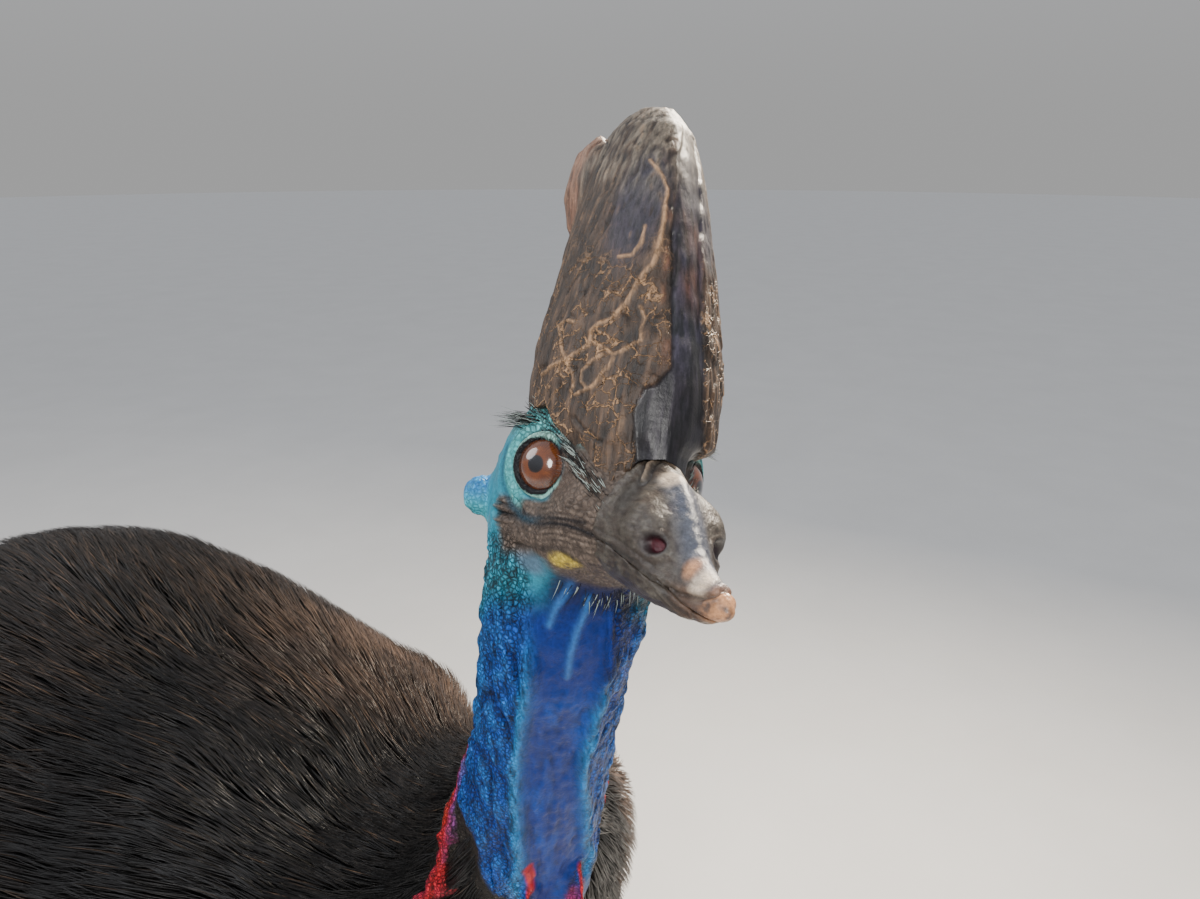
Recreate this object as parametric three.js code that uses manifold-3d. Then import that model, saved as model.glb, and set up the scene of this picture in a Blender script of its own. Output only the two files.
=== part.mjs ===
// A southern cassowary, life size, standing still with its head turned to its right and lifted.
// Millimetres, +Z up. The bird's trunk faces -Y, so its left side is +X.
import * as THREE from 'three';
import { mergeVertices } from 'three/addons/utils/BufferGeometryUtils.js';
import Module from 'manifold-3d';

const wasm = await Module();
wasm.setup();

// Driving dimensions of the whole bird
const GAP = 0.3; // left between pieces that touch
const EYE_HEIGHT = 1300;
const HEAD_SIDE = -108; // the head is carried to the right of the trunk's middle
const HEAD_FRONT = -585;
const HEAD_TURN = THREE.MathUtils.degToRad(-38.8); // to the bird's right
const HEAD_LIFT = THREE.MathUtils.degToRad(-17.7); // bill tipped up
const HEAD_LEAN = THREE.MathUtils.degToRad(14.6); // casque leaning to the bird's left
const TRUNK_FRONT = -440;
const TRUNK_REAR = 545;

// Driving dimensions of the head, measured from the point midway between the two irises
const CASQUE_TOP = 167;
const BILL_TIP = -123;
const EYE_RADIUS = 17;
const EYE_AXIS = THREE.MathUtils.degToRad(44.5); // how far each eye looks away from straight ahead
const EYE_SIDE = 25; // from the middle of the head to an eyeball's centre
const EYE_BACK = 7;
const EYE_DROP = 1.9;
const EYE_SIDES = [1, -1];
const LID_DEPTH = 19.5; // from the eyeball's centre to the front of the lids
const LID_SPREAD = 25; // radius of the swollen ring of skin round the eye
const EYE_OPENING = 14; // radius of the opening between the lids
const EAR_RADIUS = 10;
const EAR_PLACE = { side: 45, back: 58, high: -19 };
const BILL_OVERHANG = 11; // how far the upper half's tip passes the lower half's

// Driving dimensions of the two wattles, which hang side by side
const WATTLE_ROOT = new THREE.Vector3(-93, -533, 1052);
const WATTLE_LENGTH = 135;
const WATTLE_APART = 17; // from the middle to each
const WATTLE_FRONT = new THREE.Vector3(-0.469, -0.883, 0);
const WATTLE_SIDE = new THREE.Vector3(0.883, -0.469, 0);

// Driving dimensions of the legs
const LEG_SIDE = 112;
const KNEE = { y: -50, z: 640 };
const ANKLE = { y: 150, z: 372 };
const TOE_ROOT = { y: 72, z: 40 };
const CLAW_ROOT = 12; // how far a claw's base lies inside the end of its toe
const PLUME_LINE = 418; // height where the drumstick's plumes end
const FOOT_LINE = 58;
const PAD_SWELL = 0.07; // how far each pad of a toe stands out, as a share of the toe's size

const X_AXIS = new THREE.Vector3(1, 0, 0);
const Y_AXIS = new THREE.Vector3(0, 1, 0);
const Z_AXIS = new THREE.Vector3(0, 0, 1);

// Materials
function material(colour, roughness) {
  return new THREE.MeshStandardMaterial({ color: colour, roughness, metalness: 0 });
}
const plumage = material(0x17120f, 0.8);
const blueSkin = material(0x1f55a5, 0.6);
const faceSkin = material(0x6fb6b4, 0.6);
const redSkin = material(0xb5322c, 0.5);
const casqueHorn = material(0x4a3728, 0.5);
const billHorn = material(0x3b3532, 0.35);
const eyeGlass = material(0x7a3a14, 0.08);
const legScale = material(0x5b5a52, 0.6);
const clawHorn = material(0x1e1b19, 0.4);

// A smooth line through a few [place, value] pairs, read off at any place between 0 and 1.
function line(...pairs) {
  const curve = new THREE.CatmullRomCurve3(
    pairs.map(([place, value]) => new THREE.Vector3(place, value, 0)),
    false,
    'catmullrom',
    0.3,
  );
  return (place) => {
    const last = pairs.length - 1;
    let span = 0;
    while (span < last - 1 && place > pairs[span + 1][0]) span += 1;
    const share = (place - pairs[span][0]) / (pairs[span + 1][0] - pairs[span][0]);
    return curve.getPoint((span + THREE.MathUtils.clamp(share, 0, 1)) / last).y;
  };
}

// How far a rounded end has opened out at a place between 0 and 1. A larger bluntness is a fuller end.
function dome(place, [startBluntness, endBluntness]) {
  const fromMiddle = Math.abs(2 * place - 1);
  const bluntness = place < 0.5 ? startBluntness : endBluntness;
  return bluntness ? Math.pow(Math.max(0, 1 - Math.pow(fromMiddle, bluntness)), 1 / bluntness) : 1;
}

// A closed body drawn along a curve. Its sections are ovals: wide to both sides, and above and below the
// curve. A squareness over 2 fills their corners. Sections face along the curve, or along facing.
function loft(shape) {
  const { spine, side, facing, wide, above, below, rings, sides } = shape;
  const { ends = [0, 0], squareness = 2, keel = 0, grow = 0 } = shape;
  const curve = new THREE.CatmullRomCurve3(spine.map((point) => new THREE.Vector3(...point)));
  const geometry = new THREE.CylinderGeometry(1, 1, 1, sides, rings);
  geometry.deleteAttribute('normal');
  geometry.deleteAttribute('uv');
  const spots = geometry.attributes.position;
  for (let i = 0; i < spots.count; i += 1) {
    const even = spots.getY(i) + 0.5;
    const round = (1 - Math.cos(Math.PI * even)) / 2;
    const eased = (even < 0.5 ? ends[0] : ends[1]) ? round : even;
    const place = ends[0] && ends[1] ? round : eased;
    const open = dome(place, ends);
    const along = (facing ?? curve.getTangent(place)).clone().normalize();
    const across = side.clone().addScaledVector(along, -side.dot(along)).normalize();
    const up = new THREE.Vector3().crossVectors(across, along);
    const angle = Math.atan2(spots.getZ(i), spots.getX(i));
    const reach = Math.hypot(spots.getX(i), spots.getZ(i)) > 0.5 ? 1 : 0;
    const power = 2 / squareness;
    const cos = Math.sign(Math.cos(angle)) * Math.pow(Math.abs(Math.cos(angle)), power);
    const sin = Math.sign(Math.sin(angle)) * Math.pow(Math.abs(Math.sin(angle)), power);
    const pinch = 1 - keel * Math.pow(Math.max(0, sin), 2);
    const high = sin > 0 ? above(place) : below(place);
    const spot = curve.getPoint(place);
    spot.addScaledVector(across, reach * cos * pinch * (wide(place) * open + grow));
    spot.addScaledVector(up, reach * sin * (high * open + grow));
    if (grow && (place === 0 || place === 1)) spot.addScaledVector(along, place ? grow : -grow);
    spots.setXYZ(i, spot.x, spot.y, spot.z);
  }
  return geometry;
}

// A geometry as a solid that can be joined and cut.
function solid(geometry) {
  const bare = geometry.clone();
  bare.deleteAttribute('normal');
  bare.deleteAttribute('uv');
  const merged = mergeVertices(bare, 1e-4);
  const corners = merged.index.array;
  const triangles = [];
  for (let i = 0; i < corners.length; i += 3) {
    const [a, b, c] = corners.slice(i, i + 3);
    if (a !== b && b !== c && c !== a) triangles.push(a, b, c);
  }
  return new wasm.Manifold(
    new wasm.Mesh({
      numProp: 3,
      vertProperties: new Float32Array(merged.attributes.position.array),
      triVerts: new Uint32Array(triangles),
    }),
  );
}

// A solid as a named mesh with its own material.
function piece(name, body, finish) {
  const { vertProperties, triVerts } = body.getMesh();
  const geometry = new THREE.BufferGeometry();
  geometry.setAttribute('position', new THREE.BufferAttribute(new Float32Array(vertProperties), 3));
  geometry.setIndex(new THREE.BufferAttribute(new Uint32Array(triVerts), 1));
  geometry.computeVertexNormals();
  const mesh = new THREE.Mesh(geometry, finish.clone());
  mesh.name = name;
  return mesh;
}

function joined(bodies) {
  return bodies.reduce((whole, body) => whole.add(body));
}

// A large box on one side of a plane, for cutting: it covers what the normal points to.
function beyond(point, normal) {
  const size = 4000; // larger than the whole bird
  const box = new THREE.BoxGeometry(size, size, size);
  box.translate(0, 0, size / 2);
  box.applyQuaternion(new THREE.Quaternion().setFromUnitVectors(Z_AXIS, normal.clone().normalize()));
  box.translate(point.x, point.y, point.z);
  return solid(box);
}

const GROUND = beyond(new THREE.Vector3(), Z_AXIS);

// Cuts a body across at a plane and leaves the gap there. Returns what is behind and what is beyond.
function parted(body, point, normal) {
  const step = normal.clone().normalize().multiplyScalar(GAP / 2);
  const back = normal.clone().negate();
  return [
    body.intersect(beyond(point.clone().sub(step), back)),
    body.intersect(beyond(point.clone().add(step), normal)),
  ];
}

function ball(radius, centre, across, down) {
  const geometry = new THREE.SphereGeometry(radius, across, down);
  geometry.translate(centre.x, centre.y, centre.z);
  return geometry;
}

function eyeCentre(sign) {
  return new THREE.Vector3(sign * EYE_SIDE, EYE_BACK, -EYE_DROP);
}

// The way each eye looks. The lids leave a round opening about this line.
function eyeLook(sign) {
  return new THREE.Vector3(sign * Math.sin(EYE_AXIS), -Math.cos(EYE_AXIS), 0.04).normalize();
}

// Where the head is carried, and a point of the head given in the whole bird's frame.
const headPlace = new THREE.Matrix4().makeRotationFromEuler(
  new THREE.Euler(HEAD_LIFT, HEAD_LEAN, HEAD_TURN, 'ZXY'),
);
headPlace.setPosition(HEAD_SIDE, HEAD_FRONT, EYE_HEIGHT);
function fromHead(x, y, z) {
  return new THREE.Vector3(x, y, z).applyMatrix4(headPlace);
}

// The head's flesh in the head's own frame: narrow at the bill, widest at the jaw, round at the nape.
const HEAD_FLESH = {
  spine: [[0, -54, -18], [0, -30, -14], [0, 0, -10], [0, 40, -16], [0, 78, -22]],
  side: X_AXIS,
  facing: Y_AXIS,
  wide: line([0, 17], [0.18, 25], [0.4, 35], [0.58, 46], [0.75, 50], [1, 50]),
  above: line([0, 22], [0.18, 27], [0.42, 38], [0.7, 48], [1, 46]),
  below: line([0, 22], [0.18, 29], [0.42, 40], [0.7, 48], [1, 46]),
  ends: [2.6, 2.4],
  squareness: 2.6,
  rings: 10,
  sides: 18,
};

// The ring of skin round one eye: a flattened ball that faces the way the eye looks.
function lids(sign, grow) {
  const shape = ball(LID_SPREAD + grow, new THREE.Vector3(), 14, 9);
  shape.scale(1, (LID_DEPTH + grow) / (LID_SPREAD + grow), 1);
  shape.applyQuaternion(new THREE.Quaternion().setFromUnitVectors(Y_AXIS, eyeLook(sign)));
  const centre = eyeCentre(sign);
  return shape.translate(centre.x, centre.y, centre.z);
}

function headFlesh(grow, place = new THREE.Matrix4()) {
  const skull = loft({ ...HEAD_FLESH, grow });
  const shapes = [skull, ...EYE_SIDES.map((sign) => lids(sign, grow))];
  return joined(shapes.map((shape) => solid(shape.applyMatrix4(place))));
}

function eyeOpening(sign) {
  const depth = 2 * LID_DEPTH;
  const cone = new THREE.CylinderGeometry(2 * EYE_OPENING, 0.5, depth, 14);
  cone.translate(0, depth / 2, 0);
  cone.applyQuaternion(new THREE.Quaternion().setFromUnitVectors(Y_AXIS, eyeLook(sign)));
  const centre = eyeCentre(sign);
  cone.translate(centre.x, centre.y, centre.z);
  return solid(cone);
}

// Each eyeball sits in a socket of its own shape.
function eyeball(sign, grow) {
  return solid(ball(EYE_RADIUS + grow, eyeCentre(sign), 14, 8));
}

function head() {
  const sockets = EYE_SIDES.map((sign) => eyeball(sign, GAP));
  return headFlesh(0).subtract(joined([...sockets, ...EYE_SIDES.map(eyeOpening)]));
}

// The bill before it is parted: a high ridge that bends down to a blunt tip.
const BILL = {
  spine: [[0, BILL_TIP, -40], [0, -98, -38], [0, -74, -28], [0, -49, -20], [0, -24, -16]],
  side: X_AXIS,
  facing: Y_AXIS,
  wide: line([0, 7.5], [0.22, 8.5], [0.34, 10], [0.44, 14.5], [0.55, 16], [0.7, 17.5], [0.84, 20], [1, 24]),
  above: line([0, 10], [0.22, 11.5], [0.34, 15.5], [0.44, 22.5], [0.55, 25.5], [0.7, 25.5], [1, 27]),
  below: line([0, 6.5], [0.22, 8.5], [0.34, 11.5], [0.44, 15.5], [0.55, 19.5], [0.7, 23.5], [1, 26]),
  ends: [2.1, 0],
  squareness: 2.2,
  rings: 11,
  sides: 14,
};

// The bill's two halves, parted along the line of the gape. The upper half overhangs the lower.
function billHalves() {
  const gape = new THREE.SplineCurve(
    [[30, -22], [-20, -24.5], [-48, -28], [-78, -34], [-104, -41.5], [-150, -50]].map(
      ([y, z]) => new THREE.Vector2(y, z),
    ),
  ).getPoints(10);
  const far = 100;
  // All that is on one side of the gape, drawn out across the bill.
  const side = (shift, reach) => {
    const edge = gape.map((point) => new THREE.Vector2(point.x, point.y + shift));
    const outer = [new THREE.Vector2(-150, reach), new THREE.Vector2(30, reach)];
    const slab = new THREE.ExtrudeGeometry(new THREE.Shape([...edge, ...outer]), {
      depth: far,
      bevelEnabled: false,
    });
    slab.translate(0, 0, -far / 2);
    return solid(slab.applyMatrix4(new THREE.Matrix4().makeBasis(Y_AXIS, Z_AXIS, X_AXIS)));
  };
  const horn = solid(loft(BILL)).subtract(headFlesh(GAP));
  const lowerTip = beyond(new THREE.Vector3(0, BILL_TIP + BILL_OVERHANG, 0), Y_AXIS);
  return [
    horn.intersect(side(GAP / 2, far)),
    horn.intersect(side(-GAP / 2, -far)).intersect(lowerTip),
  ];
}

// The casque: a tall horn helmet, blunt and narrow in front, flat-sided, round on top.
function casque() {
  const helmet = loft({
    spine: [[1, 2, -12], [2, 6, 32], [2, 11, 76], [2, 19, 120], [2, 25, CASQUE_TOP]],
    side: X_AXIS,
    facing: Z_AXIS,
    wide: line([0, 36], [0.2, 40], [0.35, 39.5], [0.5, 35.5], [0.65, 31.5], [0.8, 29.5], [1, 29.5]),
    above: line([0, 58], [0.25, 55], [0.5, 48], [0.7, 45], [1, 44]),
    below: line([0, 54], [0.3, 58], [0.7, 53], [1, 50]),
    ends: [0, 2.5],
    squareness: 2.15,
    keel: 0.4,
    rings: 11,
    sides: 20,
  });
  // The horn is worn thick over the rear edge, on the bird's right.
  const lump = ball(1, new THREE.Vector3(), 9, 6);
  lump.scale(13, 22, 29);
  lump.rotateX(THREE.MathUtils.degToRad(-14));
  lump.translate(-16, 45, 130);
  const horn = solid(helmet).add(solid(lump));
  return horn.subtract(headFlesh(GAP)).subtract(solid(loft({ ...BILL, grow: GAP })));
}

// The neck, from inside the head down to the trunk. Its upper lengths are bare, its base is plumed.
const NECK = {
  spine: [
    fromHead(0, 36, -26).toArray(),
    fromHead(0, 46, -72).toArray(),
    [-95, -537, 1162],
    [-78, -511, 1075],
    [-46, -466, 995],
    [-6, -402, 925],
    [0, -290, 860],
  ],
  side: X_AXIS,
  wide: line([0, 45], [0.06, 46], [0.14, 40], [0.25, 37], [0.42, 40], [0.54, 48], [0.66, 90], [0.84, 150]),
  above: line([0, 36], [0.1, 39], [0.22, 36], [0.4, 37], [0.52, 42], [0.66, 54], [0.84, 76], [1, 90]),
  below: line([0, 36], [0.1, 38], [0.22, 36], [0.4, 37], [0.52, 42], [0.66, 74], [0.84, 124], [1, 145]),
  rings: 14,
  sides: 16,
};
const NECK_CUTS = [0.3, 0.43, 0.57]; // places along the neck where it is parted

function neckWhole(grow) {
  return solid(loft({ ...NECK, grow }));
}

function neckLengths() {
  const middle = new THREE.CatmullRomCurve3(NECK.spine.map((point) => new THREE.Vector3(...point)));
  let rest = neckWhole(0).subtract(headFlesh(GAP, headPlace)).subtract(trunkWhole(GAP));
  const lengths = NECK_CUTS.map((place) => {
    const [upper, lower] = parted(rest, middle.getPoint(place), middle.getTangent(place));
    rest = lower;
    return upper;
  });
  return [...lengths, rest];
}

// The swelling behind the jaw that holds the ear's opening, in the whole bird's frame.
function ear(sign) {
  const swelling = ball(
    EAR_RADIUS,
    fromHead(sign * EAR_PLACE.side, EAR_PLACE.back, EAR_PLACE.high),
    9,
    6,
  );
  return solid(swelling).subtract(headFlesh(GAP, headPlace)).subtract(neckWhole(GAP));
}

// A wattle hangs from the front of the lower neck: a flat drop, fuller at its end.
function wattle(sign) {
  const root = WATTLE_ROOT.clone().addScaledVector(WATTLE_SIDE, sign * WATTLE_APART);
  const drop = (down, out) => {
    return root.clone().addScaledVector(WATTLE_FRONT, out).addScaledVector(Z_AXIS, -down).toArray();
  };
  const shape = loft({
    spine: [drop(-12, -8), drop(20, 2), drop(70, 6), drop(WATTLE_LENGTH, 4)],
    side: WATTLE_SIDE,
    wide: line([0, 8], [0.4, 9.5], [0.75, 13], [1, 12]),
    above: line([0, 7], [0.5, 7], [1, 8]),
    below: line([0, 7], [0.5, 7], [1, 8]),
    ends: [2, 2],
    rings: 7,
    sides: 9,
  });
  return solid(shape).subtract(neckWhole(GAP)).subtract(trunkWhole(GAP));
}

// The trunk with its plumage, out to the tips of the feathers: a high back that falls to a drooping rump.
const TRUNK = {
  spine: [
    [0, TRUNK_FRONT, 760],
    [0, -276, 776],
    [0, -112, 782],
    [0, 52, 790],
    [0, 216, 784],
    [0, 380, 748],
    [0, TRUNK_REAR, 668],
  ],
  side: X_AXIS,
  facing: Y_AXIS,
  wide: line([0, 243], [0.45, 258], [0.75, 267], [1, 262]),
  above: line([0, 222], [0.3, 242], [0.6, 265], [1, 280]),
  below: line([0, 215], [0.3, 240], [0.6, 262], [1, 270]),
  ends: [2.5, 2.3],
  rings: 14,
  sides: 24,
};

function trunkWhole(grow) {
  return solid(loft({ ...TRUNK, grow }));
}

const TRUNK_CUTS = [-235, 85, 335]; // places along the trunk where it is parted

function trunkLengths() {
  let rest = trunkWhole(0);
  const lengths = TRUNK_CUTS.map((place) => {
    const [front, back] = parted(rest, new THREE.Vector3(0, place, 0), Y_AXIS);
    rest = back;
    return front;
  });
  return [...lengths, rest];
}

// A wing is a short stub with its few bare quills, lying along the flank under the loose plumes.
function wing(sign) {
  const shape = loft({
    spine: [[205, -230, 905], [246, -120, 850], [268, 10, 770], [258, 130, 690]].map(
      ([x, y, z]) => [sign * x, y, z],
    ),
    side: X_AXIS,
    wide: line([0, 24], [0.5, 20], [1, 12]),
    above: line([0, 50], [0.4, 62], [1, 36]),
    below: line([0, 50], [0.4, 62], [1, 36]),
    ends: [2, 2],
    rings: 8,
    sides: 10,
  });
  return solid(shape).subtract(trunkWhole(GAP));
}

// The plumed drumstick from the knee to above the ankle.
function drumstick(sign) {
  const shape = loft({
    spine: [
      [sign * 125, 10, 720],
      [sign * 125, KNEE.y, KNEE.z],
      [sign * 120, 40, 520],
      [sign * LEG_SIDE, ANKLE.y, ANKLE.z],
    ],
    side: X_AXIS,
    wide: line([0, 70], [0.33, 98], [0.66, 80], [0.86, 50], [1, 34]),
    above: line([0, 80], [0.33, 125], [0.66, 98], [0.86, 56], [1, 36]),
    below: line([0, 80], [0.33, 110], [0.66, 88], [0.86, 50], [1, 34]),
    ends: [2, 2],
    rings: 9,
    sides: 13,
  });
  return solid(shape).subtract(trunkWhole(GAP));
}

// The bare leg from the ankle joint down into the foot.
function shank(sign, grow) {
  const shape = loft({
    spine: [[138, 402], [ANKLE.y, ANKLE.z], [128, 270], [98, 140], [TOE_ROOT.y, TOE_ROOT.z], [72, -5]].map(
      ([y, z]) => [sign * LEG_SIDE, y, z],
    ),
    side: X_AXIS,
    wide: line([0, 28], [0.17, 31], [0.34, 23], [0.64, 22], [0.82, 31], [1, 33]),
    above: line([0, 28], [0.17, 37], [0.34, 25], [0.64, 23], [0.82, 31], [1, 34]),
    below: line([0, 28], [0.17, 34], [0.34, 24], [0.64, 23], [0.82, 31], [1, 34]),
    ends: [2, 3],
    rings: 11,
    sides: 11,
    grow,
  });
  return solid(shape);
}

function legLengths(sign) {
  const whole = drumstick(sign).add(shank(sign, 0));
  const [bare, thigh] = parted(whole, new THREE.Vector3(0, 0, PLUME_LINE), Z_AXIS);
  const [foot, tarsus] = parted(bare, new THREE.Vector3(0, 0, FOOT_LINE), Z_AXIS);
  return { thigh, tarsus, foot: foot.intersect(GROUND) };
}

// The three toes of each foot. Angles are away from straight ahead, outward on the bird.
const TOES = [
  { name: 'middle', angle: 3, length: 168, wide: 19, high: 17, claw: 44, clawWide: 9.5, pads: 3 },
  { name: 'inner', angle: -25, length: 98, wide: 17, high: 16, claw: 106, clawWide: 11, pads: 2 },
  { name: 'outer', angle: 31, length: 122, wide: 17, high: 16, claw: 36, clawWide: 9, pads: 3 },
];

// A toe lies along its own line from the foot: bulging pads below, flat where they meet the ground.
// Its claw grows from the end of the last pad.
function toeShapes(toe, sign, grow) {
  const turn = THREE.MathUtils.degToRad(sign * toe.angle);
  const ahead = new THREE.Vector3(Math.sin(turn), -Math.cos(turn), 0);
  const side = new THREE.Vector3().crossVectors(ahead, Z_AXIS);
  const at = (reach, high) => [sign * LEG_SIDE + reach * ahead.x, TOE_ROOT.y + reach * ahead.y, high];
  const padded = (place) => 1 - PAD_SWELL * Math.cos(2 * Math.PI * toe.pads * place);
  const digit = loft({
    spine: [at(0, 22), at(0.3 * toe.length, 17), at(0.65 * toe.length, toe.high - 1), at(toe.length, 13)],
    side,
    wide: (place) => toe.wide * (1.12 - 0.3 * place) * padded(place),
    above: (place) => toe.high * (1.25 - 0.5 * place),
    below: (place) => toe.high * (1.3 - 0.3 * place) * padded(place),
    ends: [2.4, 2.4],
    rings: 3 * toe.pads,
    sides: 8,
    grow,
  });
  const root = toe.length - CLAW_ROOT;
  const claw = loft({
    spine: [at(root, toe.high + 1), at(root + 0.4 * toe.claw, toe.high + 3), at(toe.length + toe.claw, 4)],
    side,
    wide: (place) => toe.clawWide * (1 - 0.86 * place),
    above: (place) => toe.clawWide * 1.05 * (1 - 0.84 * place),
    below: (place) => toe.clawWide * 0.95 * (1 - 0.88 * place),
    rings: 4,
    sides: 6,
  });
  return [solid(digit), solid(claw)];
}

// The toes of one foot, each cut clear of the foot and of the toes before it.
function toesOf(sign) {
  let taken = shank(sign, GAP);
  return TOES.map((toe) => {
    const [digit, claw] = toeShapes(toe, sign, 0);
    const room = toeShapes(toe, sign, GAP)[0];
    const shapes = { name: toe.name, digit: digit.subtract(taken), claw: claw.subtract(room) };
    taken = taken.add(room);
    return shapes;
  });
}

// The whole bird
const bird = new THREE.Group();
const headGroup = new THREE.Group();
headGroup.applyMatrix4(headPlace);
bird.add(headGroup);

const [billUpper, billLower] = billHalves();
headGroup.add(piece('head', head(), faceSkin));
headGroup.add(piece('casque', casque(), casqueHorn));
headGroup.add(piece('bill_upper', billUpper, billHorn));
headGroup.add(piece('bill_lower', billLower, billHorn));
neckLengths().forEach((length, i) => {
  bird.add(piece(`neck_${i + 1}`, length, i < 3 ? blueSkin : plumage));
});
trunkLengths().forEach((length, i) => {
  bird.add(piece(['breast', 'back', 'rump', 'tail'][i], length, plumage));
});
for (const [side, sign] of [['left', 1], ['right', -1]]) {
  const { thigh, tarsus, foot } = legLengths(sign);
  headGroup.add(piece(`eye_${side}`, eyeball(sign, 0), eyeGlass));
  bird.add(piece(`ear_${side}`, ear(sign), faceSkin));
  bird.add(piece(`wattle_${side}`, wattle(sign), redSkin));
  bird.add(piece(`wing_${side}`, wing(sign), plumage));
  bird.add(piece(`thigh_${side}`, thigh, plumage));
  bird.add(piece(`tarsus_${side}`, tarsus, legScale));
  bird.add(piece(`foot_${side}`, foot, legScale));
  for (const { name, digit, claw } of toesOf(sign)) {
    bird.add(piece(`toe_${name}_${side}`, digit.intersect(GROUND), legScale));
    bird.add(piece(`claw_${name}_${side}`, claw.intersect(GROUND), clawHorn));
  }
}

// The origin is under the middle of the bird, at the level of its feet.
bird.updateMatrixWorld(true);
const reach = new THREE.Box3().setFromObject(bird, true);
const middle = reach.getCenter(new THREE.Vector3());
bird.position.set(-middle.x, -middle.y, -reach.min.z);

export default bird;
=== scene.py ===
# %% [markdown]
# # A life-size southern cassowary
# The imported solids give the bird's true outline. This lesson finishes them: one skin with no seams,
# sculpted and coloured on the face, horn for casque and bill, wet eyes, and a coat of solid, hair-like
# plumes. The frame is loaded first, because every piece is placed by it.

# %% Load the frame
import math

import bmesh
import bpy
import numpy as np
from mathutils import Matrix, Vector
from mathutils.bvhtree import BVHTree
from mathutils.kdtree import KDTree


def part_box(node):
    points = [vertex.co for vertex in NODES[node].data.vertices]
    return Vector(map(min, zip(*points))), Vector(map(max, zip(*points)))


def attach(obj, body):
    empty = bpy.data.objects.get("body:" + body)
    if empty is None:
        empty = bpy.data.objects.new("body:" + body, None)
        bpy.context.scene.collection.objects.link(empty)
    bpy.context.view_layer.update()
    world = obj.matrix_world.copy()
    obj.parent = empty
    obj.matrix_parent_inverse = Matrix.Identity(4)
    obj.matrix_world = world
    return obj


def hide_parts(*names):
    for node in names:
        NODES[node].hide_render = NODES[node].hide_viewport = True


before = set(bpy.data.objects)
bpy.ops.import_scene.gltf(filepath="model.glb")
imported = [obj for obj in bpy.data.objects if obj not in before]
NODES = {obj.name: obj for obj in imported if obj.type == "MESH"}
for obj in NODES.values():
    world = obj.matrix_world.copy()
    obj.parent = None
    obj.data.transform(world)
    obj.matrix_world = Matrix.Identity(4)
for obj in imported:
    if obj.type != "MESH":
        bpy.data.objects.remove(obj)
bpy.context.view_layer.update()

MM = 0.001
print("frame loaded:", len(NODES), "nodes")

# %% [markdown]
# ## The head's own frame and the camera
# Sizes on a face are easiest to read in the head's own frame: x to its left, y to its back, z up, in
# millimetres from the point midway between the irises. The eyeballs say where that is, and the camera is
# placed from it, close in front and to the bird's right.

# %% Head frame and camera
HEAD_TURN, HEAD_LIFT, HEAD_LEAN = (math.radians(angle) for angle in (-38.8, -17.7, 14.6))
EYE_SIDE, EYE_BACK, EYE_DROP = 25.0, 7.0, 1.9
EYE_AXIS = math.radians(44.5)
EYE_RADIUS = 17.0
HEAD_TURNED = np.array(
    Matrix.Rotation(HEAD_TURN, 3, "Z")
    @ Matrix.Rotation(HEAD_LIFT, 3, "X")
    @ Matrix.Rotation(HEAD_LEAN, 3, "Y")
)


def middle(node):
    low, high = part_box(node)
    return np.array((low + high) / 2)


EYES_MIDDLE = (middle("eye_left") + middle("eye_right")) / 2
HEAD_ORIGIN = EYES_MIDDLE - HEAD_TURNED @ (0, EYE_BACK * MM, -EYE_DROP * MM)


def to_head(places):
    """Places in metres in the bird's frame, as millimetres in the head's frame."""
    return (np.asarray(places) - HEAD_ORIGIN) @ HEAD_TURNED / MM


def from_head(places):
    return np.asarray(places) * MM @ HEAD_TURNED.T + HEAD_ORIGIN


PHOTO_WIDTH, PHOTO_HEIGHT, FOCAL_PX = 1200, 899, 906
CAMERA_FROM_HEAD = np.array((-0.3102, -0.1892, 0.133))
CAMERA_HEADING, CAMERA_DOWN = math.radians(57.5), math.radians(18.7)
SENSOR_MM = 36

lens = bpy.data.cameras.new("camera")
lens.sensor_width = SENSOR_MM
lens.lens = FOCAL_PX / PHOTO_WIDTH * SENSOR_MM
lens.clip_start = 0.02
camera = bpy.data.objects.new("camera", lens)
bpy.context.scene.collection.objects.link(camera)
camera.location = HEAD_ORIGIN + CAMERA_FROM_HEAD
camera.rotation_euler = (math.pi / 2 - CAMERA_DOWN, 0, -CAMERA_HEADING)
bpy.context.scene.camera = camera
bpy.context.view_layer.update()
print("camera at", [round(value, 3) for value in camera.location])

# %% [markdown]
# ## Small tools for sculpting with numbers
# A smooth step opens a feature softly, a soft noise gives lumps of a chosen size, and the distance to a
# drawn line makes folds and veins. Lines that the photo shows are named by their pixels, and a ray from
# the camera lays each pixel on the solid.


# %% Fields and lines
NOISE_PRIMES, SEED_PRIME, NOISE_MIXER = (73856093, 19349663, 83492791), 7919, 1274126177
PIXEL_STEPS = 6


def opened(low, high, value):
    """0 below low, 1 above high, and a smooth step between. Low may be the larger, for a fall."""
    share = np.clip((value - low) / (high - low), 0, 1)
    return share * share * (3 - 2 * share)


def soft_noise(places, size, seed=0):
    """Noise from -1 to 1 whose lumps are about size across."""
    cell = np.asarray(places) / size
    base = np.floor(cell).astype(np.int64)
    part = cell - base
    part = part * part * (3 - 2 * part)
    total = np.zeros(len(cell))
    for corner in np.ndindex(2, 2, 2):
        key = (base + corner) * NOISE_PRIMES
        mixed = (key[:, 0] ^ key[:, 1] ^ key[:, 2]) + seed * SEED_PRIME
        mixed = (mixed ^ (mixed >> 13)) * NOISE_MIXER
        value = ((mixed ^ (mixed >> 16)) & 0xFFFF) / 0x7FFF - 1
        weight = np.prod(np.where(corner, part, 1 - part), axis=1)
        total += value * weight
    return total


def lengths(rows):
    return np.linalg.norm(rows, axis=1)


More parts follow.
